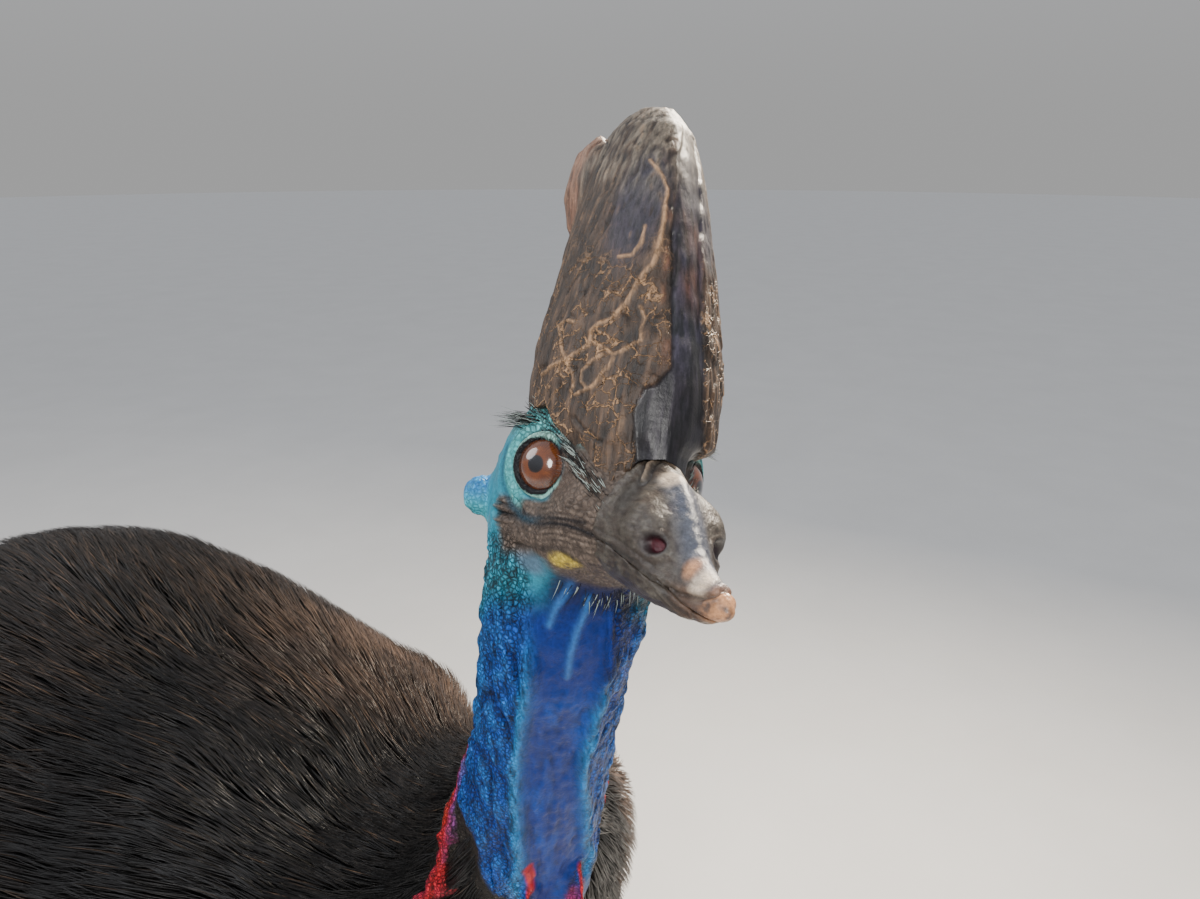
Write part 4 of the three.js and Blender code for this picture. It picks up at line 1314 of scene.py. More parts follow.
eyes = []
for side, name in ((1, "eye_left"), (-1, "eye_right")):
    ball = bmesh.new()
    bmesh.ops.create_uvsphere(ball, u_segments=128, v_segments=96, radius=EYE_SHOWN)
    mesh = meshed(name, ball)
    centre, look = side_eye(side)
    local = places_of(mesh)
    away = np.degrees(np.arccos(np.clip(local[:, 2] / EYE_SHOWN, -1, 1)))
    turn = np.degrees(np.arctan2(local[:, 1], local[:, 0]))
    cornea = opened(40, 20, away)
    local *= (1 + CORNEA_OUT * cornea)[:, None]
    turned = np.array(Vector(look).to_track_quat("Z", "Y").to_matrix())
    fibres = np.sin(np.radians(turn) * IRIS_RAYS + 3 * soft_noise(local, 3, 51)) * 0.5
    fibres += soft_noise(local, 1.6, 52)
    share = opened(PUPIL_EDGE, IRIS_EDGE, away)
    tint = painted(
        blended(share, IRIS_INNER, IRIS_OUTER),
        (0.30 * opened(-0.4, 1.2, fibres) * opened(0, 0.3, share), FIBRE_LIGHT),
        (0.4 * opened(0.2, -1.0, fibres), FIBRE_DARK),
        (opened(PUPIL_EDGE + 1.6, PUPIL_EDGE - 0.6, away), PUPIL_BLACK),
        (opened(IRIS_EDGE - 2.5, IRIS_EDGE, away), EYE_EDGE),
    )
    place(mesh, from_head(centre + local @ turned.T))
    smooth_shaded(mesh)
    eye = link(name + "_piece", mesh)
    colour(mesh, "tint", tint)
    eyes.append((eye, name))
print("eyes: iris", round(2 * EYE_SHOWN * math.sin(math.radians(IRIS_EDGE)), 1), "mm across")

# %% [markdown]
# ## One way to build hair-like pieces
# Plumes, bristles and quills are thin closed strands that taper to a point. One function turns thousands
# of paths into one mesh, from each strand's path, radius and flat side, and puts its patch of the OFBake
# map at the place of its root.

# %% Strands
PATCH = 0.003
TINY = 1e-12


def strand_mesh(name, paths, radii, facing, flatness, patches, sides=3):
    """Closed tapering strands: paths is (strands, rings, 3), radii (strands, rings), facing (strands, 3)
    and patches the OFBake place of each root. The last ring of a path is a single point."""
    count, rings = paths.shape[:2]
    along = np.gradient(paths, axis=1)
    across = np.cross(along, facing[:, None])
    across /= np.linalg.norm(across, axis=2, keepdims=True) + TINY
    over = np.cross(across, along)
    over /= np.linalg.norm(over, axis=2, keepdims=True) + TINY
    turns = np.arange(sides) * math.tau / sides
    rim = across[:, :-1, None] * np.cos(turns)[:, None]
    rim = rim + over[:, :-1, None] * (flatness * np.sin(turns))[:, None]
    body = paths[:, :-1, None] + rim * radii[:, :-1, None, None]
    verts = np.concatenate([body.reshape(count, -1, 3), paths[:, -1:]], 1)
    per = verts.shape[1]
    faces = []
    for ring in range(rings - 2):
        for k in range(sides):
            low, low_next = ring * sides + k, ring * sides + (k + 1) % sides
            faces.append((low, low_next, low_next + sides, low + sides))
    last = (rings - 2) * sides
    faces += [(last + k, last + (k + 1) % sides, per - 1) for k in range(sides)]
    faces.append(tuple(reversed(range(sides))))
    loops = np.concatenate([np.array(face) for face in faces])
    starts = np.cumsum([0] + [len(face) for face in faces[:-1]])
    shift = np.arange(count)[:, None]
    mesh = bpy.data.meshes.new(name)
    mesh.vertices.add(count * per)
    mesh.loops.add(count * len(loops))
    mesh.polygons.add(count * len(faces))
    mesh.vertices.foreach_set("co", verts.astype(np.float32).ravel())
    corner = (loops + shift * per).ravel()
    mesh.loops.foreach_set("vertex_index", corner.astype(np.int32))
    mesh.polygons.foreach_set("loop_start", (starts + shift * len(loops)).ravel().astype(np.int32))
    mesh.update(calc_edges=True)
    share = np.append(np.repeat(np.arange(rings - 1), sides), rings - 1) / (rings - 1)
    sideways = np.append(np.tile(np.arange(sides) / (sides - 1), rings - 1), 0.5)
    spread = np.stack([sideways - 0.5, share - 0.5], 1) * PATCH
    uv = (patches[:, None] + spread).reshape(-1, 2)[corner]
    mesh.uv_layers.new(name="OFBake").data.foreach_set("uv", uv.astype(np.float32).ravel())
    smooth_shaded(mesh)
    return link(name, mesh), np.tile(share, count)


# %% [markdown]
# ## The roots of the plumes
# A cassowary's plumes look like coarse hair, so they are made one by one. A seeded generator scatters
# their roots by area, more densely on the breast, which the photo shows from close by.

# %% Scatter the roots
PLUMES = 78000
THIN_COAT = 2.2 * MM
CLOSE_UP_MORE = 0.9
rng = np.random.default_rng(12)
smooth_shaded(outer.data)
outer.data.calc_loop_triangles()
corners = np.empty(len(outer.data.loop_triangles) * 3, np.int32)
outer.data.loop_triangles.foreach_get("vertices", corners)
corners = corners.reshape(-1, 3)
outer_normals = normals_of(outer.data)
edges_of = outer_places[corners[:, 1:]] - outer_places[corners[:, :1]]
area = lengths(np.cross(edges_of[:, 0], edges_of[:, 1])) / 2
thick = outer_depth[corners].mean(1)
close_up = 1 + CLOSE_UP_MORE * opened(-0.05, -0.3, outer_places[corners[:, 0], 1])
chance = area * (thick > THIN_COAT) * close_up
picked = rng.choice(len(area), PLUMES, p=chance / chance.sum())
mix = rng.dirichlet((1, 1, 1), PLUMES)[:, :, None]
root = (outer_places[corners[picked]] * mix).sum(1)
root_up = (outer_normals[corners[picked]] * mix).sum(1)
root_up /= np.linalg.norm(root_up, axis=1, keepdims=True)
root_depth = (outer_depth[corners[picked]] * mix[:, :, 0]).sum(1)
print("roots:", PLUMES, "on", round(float(area[thick > THIN_COAT].sum()), 2), "square metres")

# %% [markdown]
# ## The lie of the plumes
# The plumes run back from the neck, droop down the flanks and hang over the tail. One field gives that
# direction at every place, and each path is walked along the outer surface in three steps, a little
# swirled.

# %% Walk the plumes
STEPS = 3
SWIRL, UNEVEN = 0.28, 0.10
LEG_TOP = 0.58
LEG_LONG, NECK_LONG, TRUNK_LONG = 0.07, 0.045, 0.085
LEG_WAY, NECK_WAY = np.array((0, 0.25, -1)), np.array((0.24, 0.62, -0.95))


def lie(places, ups):
    """The way the plumes run at each place, along the surface."""
    x, y, z = places.T
    droop = 0.10 + 1.15 * opened(0.96, 0.66, z) + 1.3 * opened(0.32, 0.56, y) + 0.4 * opened(-0.2, -0.4, y)
    way = np.stack([0.10 * np.sign(x) * opened(0.0, 0.1, np.abs(x)), np.ones_like(y), -droop], 1)
    on_leg = opened(0.60, 0.54, z)[:, None]
    way = way * (1 - on_leg) + LEG_WAY * on_leg
    off_middle = lengths((places - neck_middle(z))[:, :2])
    at_neck = (opened(0.14, 0.09, off_middle) * opened(0.86, 0.94, z))[:, None]
    way = way * (1 - at_neck) + NECK_WAY * at_neck
    way -= ups * (way * ups).sum(1, keepdims=True)
    return way / (np.linalg.norm(way, axis=1, keepdims=True) + 1e-9)


swirl = soft_noise(root, 0.07, 61) * SWIRL + rng.normal(0, UNEVEN, PLUMES)
length = TRUNK_LONG + 0.05 * opened(-0.2, 0.2, root[:, 1]) + 0.03 * opened(0.3, 0.5, root[:, 1])
length = np.where(root[:, 2] < LEG_TOP, LEG_LONG, length)
by_neck = opened(0.88, 0.96, root[:, 2]) * opened(-0.2, -0.33, root[:, 1])
length = (length * (1 - by_neck) + NECK_LONG * by_neck) * rng.uniform(0.75, 1.2, PLUMES)
spot, up = root, root_up
line, ups = [root], [root_up]
for step in range(STEPS):
    way = lie(spot, up)
    way += np.cross(up, way) * swirl[:, None]
    ahead = spot + way * (length / STEPS)[:, None]
    found = [outer_tree.find_nearest(Vector(place_of))[:2] for place_of in ahead]
    spot, up = (np.array(part) for part in zip(*found))
    line.append(spot)
    ups.append(up)
line, ups = np.stack(line, 1), np.stack(ups, 1)
print("paths:", PLUMES, "mean length", round(float(length.mean()), 3), "m")

# %% [markdown]
# ## From the skin to the outline, in wisps
# A plume grows out of the skin and ends at the outline, so each ring of its path lies less deep. Real
# plumes cling together, so every path is drawn towards its nearest leader, more towards the tip.

# %% Rise and gather
RISE, RISE_MORE = np.array((1.0, 0.52, 0.22, 0.03)), 2.5 * MM * np.array((1, 0.3, 0.1, 0))
LOOSE_DEPTH, LOOSE_AT = 3.5, (0, 0.5, 1, 1)
WISP = 11
GATHER = np.array((0, 0.22, 0.5, 0.72))

sunk_by = root_depth[:, None] * RISE + RISE_MORE + rng.uniform(0, LOOSE_DEPTH, (PLUMES, 1)) * MM * LOOSE_AT
paths = line - ups * sunk_by[:, :, None]
leaders = rng.choice(PLUMES, PLUMES // WISP, replace=False)
leader_tree = KDTree(len(leaders))
for i, leader in enumerate(leaders):
    leader_tree.insert(root[leader], i)
leader_tree.balance()
follow = leaders[np.array([leader_tree.find(Vector(place_of))[1] for place_of in root])]
gather = GATHER[:, None] * rng.uniform(0.5, 1, (PLUMES, 1, 1))
paths += (paths[follow] - paths) * gather
print("wisps:", len(leaders))

# %% [markdown]
# ## Where the coat is divided
# The coat is split where the body is: neck, drumsticks and slices of the trunk, each under the face count
# that a piece may have. Each has its own unwrap: round and along a limb, or like the lines of a globe on
# the trunk.

# %% Divide the coat
TRUNK_SLICES = 6
DRUMSTICK_TOP, NECK_PLUMES_BELOW, NECK_PLUMES_FROM = 0.56, 0.9, 0.90
DRUMSTICK_SIDE, DRUMSTICK_BACK = 0.13, 0.08
TRUNK_BACK, TRUNK_HIGH, TRUNK_LONG_HALF, TRUNK_WIDE_HALF = 0.12, 0.76, 0.5, 0.25
MAP_EDGE = 0.004

on_leg = root[:, 2] < DRUMSTICK_TOP
near_neck = (below_border(root) < NECK_PLUMES_BELOW) & (root[:, 2] > NECK_PLUMES_FROM)
groups = {
    "plumes_neck": near_neck,
    "plumes_leg_left": on_leg & (root[:, 0] > 0),
    "plumes_leg_right": on_leg & (root[:, 0] <= 0),
}
trunk = ~on_leg & ~near_neck
cuts = np.quantile(root[trunk, 1], np.linspace(0, 1, TRUNK_SLICES + 1))
cuts[-1] += 1
for i in range(TRUNK_SLICES):
    groups[f"plumes_trunk_{i + 1}"] = trunk & (root[:, 1] >= cuts[i]) & (root[:, 1] < cuts[i + 1])


def unwrapped(name, places):
    """Each root's place on the unwrap of its part of the body, from 0 to 1 both ways."""
    if "leg" in name:
        aside = math.copysign(DRUMSTICK_SIDE, places[:, 0].mean())
        round_it, along = np.arctan2(places[:, 0] - aside, places[:, 1] - DRUMSTICK_BACK), places[:, 2]
    elif "neck" in name:
        round_it, along = np.radians(neck_angle(places)), places[:, 2]
    else:
        over = places[:, 2] - TRUNK_HIGH
        round_it = np.arctan2(places[:, 0], over)
        back = (places[:, 1] - TRUNK_BACK) / TRUNK_LONG_HALF
        along = np.arctan2(back, np.hypot(places[:, 0], over) / TRUNK_WIDE_HALF)
    both = np.stack([round_it / math.tau + 0.5, (along - along.min()) / np.ptp(along)], 1)
    return MAP_EDGE + both * (1 - 2 * MAP_EDGE)


print("coat pieces:", len(groups))

# %% [markdown]
# ## The plume pieces
# Plumes are black at the root and browner at the tip, the more so where a root faces up: that is painted
# sunlight on the back, and painted shade takes it away on the near shoulder. Some tips are bleached pale
# at random, more under that painted sunlight, and on the far shoulder and the neck's left side painted
# warm sunlight makes more tips pale and warm.

# %% Plume pieces
PLUME_BLACK, PLUME_BROWN = (0.0040, 0.0036, 0.0038), (0.014, 0.0095, 0.0070)
PLUME_BLEACHED_AND_LIT, PLUME_SUNLIT_WARM = (0.060, 0.038, 0.024), (0.20, 0.13, 0.095)
SHADED_SHOULDER, FAR_SHOULDER = (-0.07, -0.25, 0.93), (0.14, -0.14, 0.925)
PLUME_SHAPE, PLUME_FLAT = np.array((0.7, 1.0, 0.75, 0)), 0.4
PALE_TIP_SHARE = 0.22

thickness_by_place = 0.95 + 0.25 * opened(0.1, 0.5, root[:, 1]) - 0.35 * near_neck - 0.2 * on_leg
thick_of = rng.uniform(0.68, 1.22, PLUMES) * MM * thickness_by_place
strand_draw = rng.random(PLUMES)
# roots that face up get browner and more pale tips, a painted sunlight; near the near shoulder a painted
# shade takes it away
painted_sun_and_shade = opened(0.2, 0.9, root_up[:, 2]) * 0.6 + 0.25
painted_sun_and_shade *= 1 - 0.85 * opened(0.25, 0.15, lengths(root - SHADED_SHOULDER))
# pale, warm tips on the far shoulder: painted sunlight
sunlit = 0.42 * opened(0.20, 0.03, lengths(root - FAR_SHOULDER))
sunlit *= 0.4 + 0.6 * opened(-0.5, 0.6, soft_noise(root, 0.05, 62))
# pale, warm tips on the neck's left side: painted warm light from behind
left_of_neck = 0.6 * opened(0.0, 0.04, root[:, 0]) * opened(-0.30, -0.36, root[:, 1])
plumes = []
for name, chosen in groups.items():
    radii = thick_of[chosen, None] * PLUME_SHAPE
    patches = unwrapped(name, root[chosen])
    piece, share = strand_mesh(name, paths[chosen], radii, root_up[chosen], PLUME_FLAT, patches)
    per = len(share) // chosen.sum()
    # where painted warm sunlight falls, on the far shoulder and the neck's left side
    painted_sun_fringe = np.maximum(left_of_neck[chosen] * (name == "plumes_neck"), sunlit[chosen])
    pale = np.repeat(strand_draw[chosen] < PALE_TIP_SHARE * painted_sun_and_shade[chosen] + painted_sun_fringe, per)
    painted_warm_sun = np.repeat(painted_sun_fringe, per)
    brown = np.repeat(painted_sun_and_shade[chosen] * (0.5 + strand_draw[chosen]), per)
    # the browner and pale tips are partly real bleaching and partly painted sunlight
    tint = painted(
        blended(opened(0.25, 1.0, share) * np.clip(brown, 0, 1), PLUME_BLACK, PLUME_BROWN),
        (0.85 * opened(0.3, 0.9, share) * pale, PLUME_BLEACHED_AND_LIT),
        (0.8 * opened(0.1, 0.6, share) * painted_warm_sun, PLUME_SUNLIT_WARM),
    )
    colour(piece.data, "tint", tint)
    plumes.append(piece)
    print(name, "strands", int(chosen.sum()), "triangles", 16 * int(chosen.sum()))

# %% [markdown]
# ## Bristles
# Short bristles stand over the eye, lie in rows along the foot of the casque and grow, thinner, on the
# chin. Their rows are pixels laid on the skin, and each bristle is a strand with its root found there.

# %% Bristles
BROW_PX = [(497, 436), (501, 430), (508, 425), (518, 421), (530, 419), (541, 419)]
CASQUE_LINE_PX = [(530, 402), (544, 416), (558, 430), (568, 445), (578, 460), (590, 474), (603, 492)]
LOWER_LINE_PX = [(566, 452), (575, 464), (586, 480), (598, 498), (608, 514)]
CHIN_PX = [(560, 580), (580, 590), (600, 596), (615, 600)]
# each row: pixels, number on each side, length and spread in mm, the way they point, and how far they rise
BRISTLE_SETS = {
    "brow": (BROW_PX, 64, 10, 3.0, (0.9, 0.45, -0.1), 0.2),
    "casque_line": (CASQUE_LINE_PX, 190, 6.5, 4.0, None, 0.14),
    "lower_line": (LOWER_LINE_PX, 90, 5.5, 3.5, None, 0.14),
    "chin": (CHIN_PX, 30, 7, 5, (0.25, 0.8, -0.9), 0.45),
}
BRISTLE_THICK, BRISTLE_SHAPE = 0.20 * MM, np.array((1, 0.85, 0.5, 0))
ROOT_DEEP, WAY_NOISE = 0.6, 0.16

skin_tree = tree_of(skin.data)
bristle_lines, bristle_ups = [], []
for name, (pixels, count, long, spread, heads_for, stand) in BRISTLE_SETS.items():
    track = on_head(pixels, skin_tree)
    backwards = -np.gradient(track, axis=0)
    backwards /= np.linalg.norm(backwards, axis=1, keepdims=True)
    for side in (1, -1):
        at = rng.uniform(0, len(track) - 1, count)
        base = np.stack([np.interp(at, range(len(track)), track[:, k]) for k in range(3)], 1)
        base = (base + rng.normal(0, spread / 2, (count, 3))) * (side, 1, 1)
        for place_of, step_of in zip(from_head(base), at.astype(int)):
            spot, up = skin_tree.find_nearest(Vector(place_of))[:2]
            if spot is None or near_lids(to_head([spot]))[0] < -1:
                continue
            back = Vector(HEAD_TURNED @ (np.array(heads_for or backwards[step_of]) * (side, 1, 1)))
            way = (back + stand * up + Vector(rng.normal(0, WAY_NOISE, 3))).normalized()
            reach = long * rng.uniform(0.6, 1.2) * MM
            path = [spot - up * ROOT_DEEP * MM, spot + way * reach * 0.4]
            path.append(spot + way * reach * 0.75 + back * reach * 0.08)
            path.append(spot + way * reach + back * reach * 0.22)
            bristle_lines.append(path)
            bristle_ups.append(up)
bristle_lines, bristle_ups = np.array(bristle_lines), np.array(bristle_ups)
roots_flat = to_head(bristle_lines[:, 0])[:, :2]
bristle_patch = 0.05 + 0.9 * (roots_flat - roots_flat.min(0)) / np.ptp(roots_flat, axis=0)
bristle_radii = np.full((len(bristle_lines), 1), BRISTLE_THICK) * BRISTLE_SHAPE
bristles, share = strand_mesh("bristles", bristle_lines, bristle_radii, bristle_ups, 1.0, bristle_patch)
print("bristles:", len(bristle_lines))

# %% [markdown]
# ## Wing quills
# The wing is a stub hidden in the plumes, and it ends in a few bare quills like bent knitting needles.
# Each path starts under the coat and follows its surface. The bristles are coloured here too, nearly
# black but for a few pale ones, which are painted glints of sunlight.

# %% Wing quills
QUILLS, QUILL_RINGS, QUILL_SIDES = 5, 14, 8
QUILL_ROOT, QUILL_TIP = (0.035, 0.028, 0.022), (0.012, 0.010, 0.009)
# the pale bristle colour and its share are painted glints of light
BRISTLE_BLACK, BRISTLE_GLINT, GLINT_SHARE = (0.010, 0.009, 0.009), (0.34, 0.40, 0.37), 0.3

quill_lines, quill_ups = [], []
for side in (1, -1):
    wing_low, wing_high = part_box("wing_left" if side > 0 else "wing_right")
    for k in range(QUILLS):
        spot = Vector((side * 0.24, wing_low[1] + 0.10 + 0.025 * k, wing_high[2] - 0.10 - 0.012 * k))
        spot, up = outer_tree.find_nearest(spot)[:2]
        path = [spot - up * 0.02]
        for step in range(QUILL_RINGS - 1):
            share_along = step / (QUILL_RINGS - 2)
            droop = 0.25 + 0.95 * share_along
            way = Vector((0, math.cos(droop), -math.sin(droop)))
            spot, up = outer_tree.find_nearest(spot + way * (0.021 - 0.0012 * k))[:2]
            path.append(spot - up * (0.004 - 0.0015 * share_along) + Vector((0, 0, -0.004 * k * share_along)))
        quill_lines.append(path)
        quill_ups.append(up)
quill_lines, quill_ups = np.array(quill_lines), np.array(quill_ups)
taper = np.append(np.linspace(1.9, 0.7, QUILL_RINGS - 1), 0) * MM
quill_patch = np.stack([np.linspace(0.1, 0.9, len(quill_lines)), np.full(len(quill_lines), 0.5)], 1)
quill_radii = np.tile(taper, (len(quill_lines), 1))
quills, quill_share = strand_mesh(
    "wing_quills", quill_lines, quill_radii, quill_ups, 1.0, quill_patch, sides=QUILL_SIDES
)
colour(quills.data, "tint", blended(quill_share, QUILL_ROOT, QUILL_TIP))
# a few bristles are pale all along: painted glints of light, not a colour of their own
glinting_bristle = np.repeat(rng.random(len(bristle_lines)) < GLINT_SHARE, len(share) // len(bristle_lines))
colour(bristles.data, "tint", blended(0.9 * glinting_bristle, BRISTLE_BLACK, BRISTLE_GLINT))
print("quills:", len(quill_lines))

# %% [markdown]
# ## Scutes
# The front of the shank and the tops of the toes carry broad overlapping plates. Each is a small grid
# bent onto the skin, pushed out more at its lower edge and given a thickness.

# %% Scutes
SCUTE_ACROSS, SCUTE_ALONG = 7, 4
SHANK_PLATES, TOE_PLATE_LONG, FEWEST_PLATES = 24, 0.0085, 6
SHANK_SIDE, TOE_START_BACK, TOE_START_HIGH = 0.112, 0.105, 0.05
PLATE_THICK = 1.4 * MM
PLATE_DARK_GREY, PLATE_PALE_GREY = (0.095, 0.085, 0.07), (0.20, 0.18, 0.145)


def scute_row(line, half_widths, forward):
    """Plates along a line of centres: each reaches to just over the next, as roof tiles do."""
    plates = bmesh.new()
    for i in range(len(line) - 1):
        centre, ahead = Vector(line[i]), Vector(line[i + 1])
        run = ahead - centre
        aside = run.cross(Vector(forward)).normalized()
        grid = bmesh.ops.create_grid(plates, x_segments=SCUTE_ACROSS, y_segments=SCUTE_ALONG, size=1)["verts"]
        for vert in grid:
            across, along = vert.co.x, (vert.co.y + 1) / 2
            rounded = along * 1.16 * (1 - 0.16 * across * across)
            spot = centre + run * rounded + aside * across * half_widths[i] + Vector(forward) * 0.012
            near, up = skin_tree.find_nearest(spot)[:2]
            vert.co = near + up * (0.2 + 1.3 * along * (1 - 0.6 * across**4)) * MM
    bmesh.ops.recalc_face_normals(plates, faces=plates.faces)
    return plates


whole = bmesh.new()
for side, foot in ((1, "left"), (-1, "right")):
    low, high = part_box(f"tarsus_{foot}")
    ankle = np.array((side * SHANK_SIDE, low[1] + 0.022, low[2] + 0.012))
    knee = np.array((side * SHANK_SIDE, high[1] - 0.055, high[2] - 0.045))
    shank = [tuple(knee + (ankle - knee) * share) for share in np.linspace(0, 1, SHANK_PLATES)]
    rows = [(shank, np.linspace(0.019, 0.016, SHANK_PLATES), (0, -1, 0.15))]
    for toe in ("middle", "inner", "outer"):
        claw = middle(f"claw_{toe}_{foot}")
        claw_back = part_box(f"claw_{toe}_{foot}")[1][1]
        start = np.array((side * SHANK_SIDE, TOE_START_BACK, TOE_START_HIGH))
        end = np.array((claw[0], min(claw_back, 0.06) + 0.004, 0.032))
        end[0] = start[0] + (claw[0] - start[0]) * (end[1] - start[1]) / (claw[1] - start[1])
        count = max(FEWEST_PLATES, int(np.linalg.norm(end - start) / TOE_PLATE_LONG))
        track = [tuple(start + (end - start) * share) for share in np.linspace(0, 1, count)]
        rows.append((track, np.linspace(0.013, 0.009, count), (0, 0, 1)))
    for line_of, widths, forward in rows:
        loose = meshed("plates", scute_row(line_of, widths, forward))
        whole.from_mesh(loose)
        bpy.data.meshes.remove(loose)
scutes = link("scutes", meshed("scutes", whole))
thicken = scutes.modifiers.new("thicken", "SOLIDIFY")
thicken.thickness = PLATE_THICK
thicken.offset = -1
applied(scutes)
smooth_shaded(scutes.data)
scute_spots = places_of(scutes.data)
scute_noise = soft_noise(scute_spots, 9 * MM, 71)
scute_tint = blended(opened(-0.8, 0.8, scute_noise), PLATE_DARK_GREY, PLATE_PALE_GREY)
colour(scutes.data, "tint", scute_tint)
print("scutes:", len(scute_spots), "vertices")

# %% [markdown]
# ## Shared shader groups
# Three effects come back on several materials, so each is a node group that is built once: grain, scales
# and a network of veins. Grain mixes fine light and dark into a colour and gives a height and a
# roughness.

# %% The grain group
SOCKETS = {"Colour": "NodeSocketColor", "Coordinates": "NodeSocketVector"}


def new_group(name, inputs, outputs):
    """A node group with named sockets: colours, coordinates, and plain numbers for all other names."""
    group = bpy.data.node_groups.new(name, "ShaderNodeTree")
    for label, default in inputs.items():
        kind = SOCKETS.get(label, "NodeSocketFloat")
        socket = group.interface.new_socket(label, in_out="INPUT", socket_type=kind)
        if default is not None:
            socket.default_value = default
    for label in outputs:
        group.interface.new_socket(label, in_out="OUTPUT", socket_type=SOCKETS.get(label, "NodeSocketFloat"))
    return group, group.nodes.new("NodeGroupInput"), group.nodes.new("NodeGroupOutput")


def feed(tree, socket, value):
    """Links a socket to another, or sets it to a plain value."""
    if isinstance(value, bpy.types.NodeSocket):
        tree.links.new(value, socket)
    else:
        socket.default_value = value


def node(tree, kind, settings=(), **values):
    """A node with its settings and its inputs' values, links where the value is a socket. An input is
    given by its name, or as i0, i1 and so on by its number."""
    made = tree.nodes.new("ShaderNode" + kind)
    for setting, value in dict(settings).items():
        setattr(made, setting, value)
    for label, value in values.items():
        numbered = label[0] == "i" and label[1:].isdigit()
        feed(tree, made.inputs[int(label[1:]) if numbered else label.replace("_", " ")], value)
    return made


def mixed(tree, factor, low, high, blend="MIX"):
    """A Mix node for colours, between two sockets or plain colours."""
    made = node(tree, "Mix", {"data_type": "RGBA", "blend_type": blend}, Factor=factor)
    feed(tree, made.inputs[6], low)
    feed(tree, made.inputs[7], high)
    return made.outputs[2]


def computed(tree, operation, one, two):
    """A Math node's answer."""
    return node(tree, "Math", {"operation": operation}, i0=one, i1=two).outputs[0]


GREY = (0.5, 0.5, 0.5, 1)
NOISE_LOW, NOISE_HIGH = 0.3, 0.7
grain_group, told, given = new_group(
    "grain",
    {"Colour": GREY, "Coordinates": None, "Size": 400, "Amount": 0.4},
    ("Colour", "Height", "Rough"),
)
tree = grain_group
place_in, size_in, amount_in = (told.outputs[label] for label in ("Coordinates", "Size", "Amount"))
noise = node(tree, "TexNoise", Vector=place_in, Scale=size_in, Detail=6.0, Roughness=0.62).outputs["Fac"]
low = computed(tree, "SUBTRACT", 1.0, amount_in)
high = computed(tree, "ADD", 1.0, amount_in)
shade = node(tree, "MapRange", Value=noise, From_Min=NOISE_LOW, From_Max=NOISE_HIGH, To_Min=low, To_Max=high)
rough = node(tree, "MapRange", Value=noise, From_Min=NOISE_LOW, From_Max=NOISE_HIGH, To_Min=0.85, To_Max=1.15)
grained = mixed(tree, 1.0, told.outputs["Colour"], shade.outputs[0], "MULTIPLY")
tree.links.new(grained, given.inputs["Colour"])
tree.links.new(noise, given.inputs["Height"])
tree.links.new(rough.outputs[0], given.inputs["Rough"])
print("group:", grain_group.name)

# %% [markdown]
# ## Scales and veins
# Small round scales, and warts that sit as close, are the cells of a Voronoi pattern, domed in the middle.
# Their colour is lighter on the domes, a painted highlight, and darker in the gaps, a painted shade. The
# finer veins of the casque are the borders of large cells, bent and broken up by noise.

# %% The scales and network groups
# how much lighter the domes get: a painted highlight
DOME_EDGE, DOME_HIGHLIGHT = 0.28, 1.2
scales_group, told, given = new_group(
    "scales",
    {"Colour": GREY, "Coordinates": None, "Size": 200, "Gap": 0.5},
    ("Colour", "Height"),
)
tree = scales_group
place_in, size_in = told.outputs["Coordinates"], told.outputs["Size"]
cells = node(tree, "TexVoronoi", {"feature": "DISTANCE_TO_EDGE"}, Vector=place_in, Scale=size_in)
rounded = {"interpolation_type": "SMOOTHERSTEP"}
dome = node(tree, "MapRange", rounded, Value=cells.outputs["Distance"], From_Min=0.0, From_Max=DOME_EDGE)
painted_gap_shade = computed(tree, "SUBTRACT", 1.0, told.outputs["Gap"])
# darker in the gaps and lighter on the domes: painted shade and painted highlight
shade = node(tree, "MapRange", Value=dome.outputs[0], To_Min=painted_gap_shade, To_Max=DOME_HIGHLIGHT)
scaled = mixed(tree, 1.0, told.outputs["Colour"], shade.outputs[0], "MULTIPLY")
tree.links.new(scaled, given.inputs["Colour"])
tree.links.new(dome.outputs[0], given.inputs["Height"])

WANDER_SIZE, WANDER_BY, PATCHY_SIZE = 160.0, 0.007, 90.0
network_group, told, given = new_group(
    "network",
    {"Coordinates": None, "Size": 100, "Width": 0.05},
    ("Lines",),
)
tree = network_group
place_in = told.outputs["Coordinates"]
wander = node(tree, "TexNoise", Vector=place_in, Scale=WANDER_SIZE, Detail=3.0, Roughness=0.6)
bent = node(tree, "VectorMath", {"operation": "SCALE"}, i0=wander.outputs["Color"], Scale=WANDER_BY)
moved = node(tree, "VectorMath", {"operation": "ADD"}, i0=place_in, i1=bent.outputs[0])
edges = {"feature": "DISTANCE_TO_EDGE"}
web = node(tree, "TexVoronoi", edges, Vector=moved.outputs[0], Scale=told.outputs["Size"]).outputs["Distance"]
patchy = node(tree, "TexNoise", Vector=place_in, Scale=PATCHY_SIZE, Detail=2.0).outputs["Fac"]
width_in = told.outputs["Width"]
wide = node(tree, "MapRange", Value=patchy, From_Min=0.40, From_Max=0.58, To_Min=0.0, To_Max=width_in)
soft = {"interpolation_type": "SMOOTHSTEP"}
line = node(tree, "MapRange", soft, Value=web, From_Min=0.0, From_Max=wide.outputs[0], To_Min=1.0, To_Max=0.0)
tree.links.new(line.outputs[0], given.inputs["Lines"])
print("groups:", [group.name for group in bpy.data.node_groups])

# %% [markdown]
# ## Bare skin
# Every material adds to its piece's colours what is too fine for the mesh. Skin has pores, upright cords
# on the neck, small scales on its warts and round ones on the legs, mixed by the numbers kept at the
# vertices.

# %% Skin material
SKIN_ROUGH, SKIN_SHINE = 0.42, 0.17


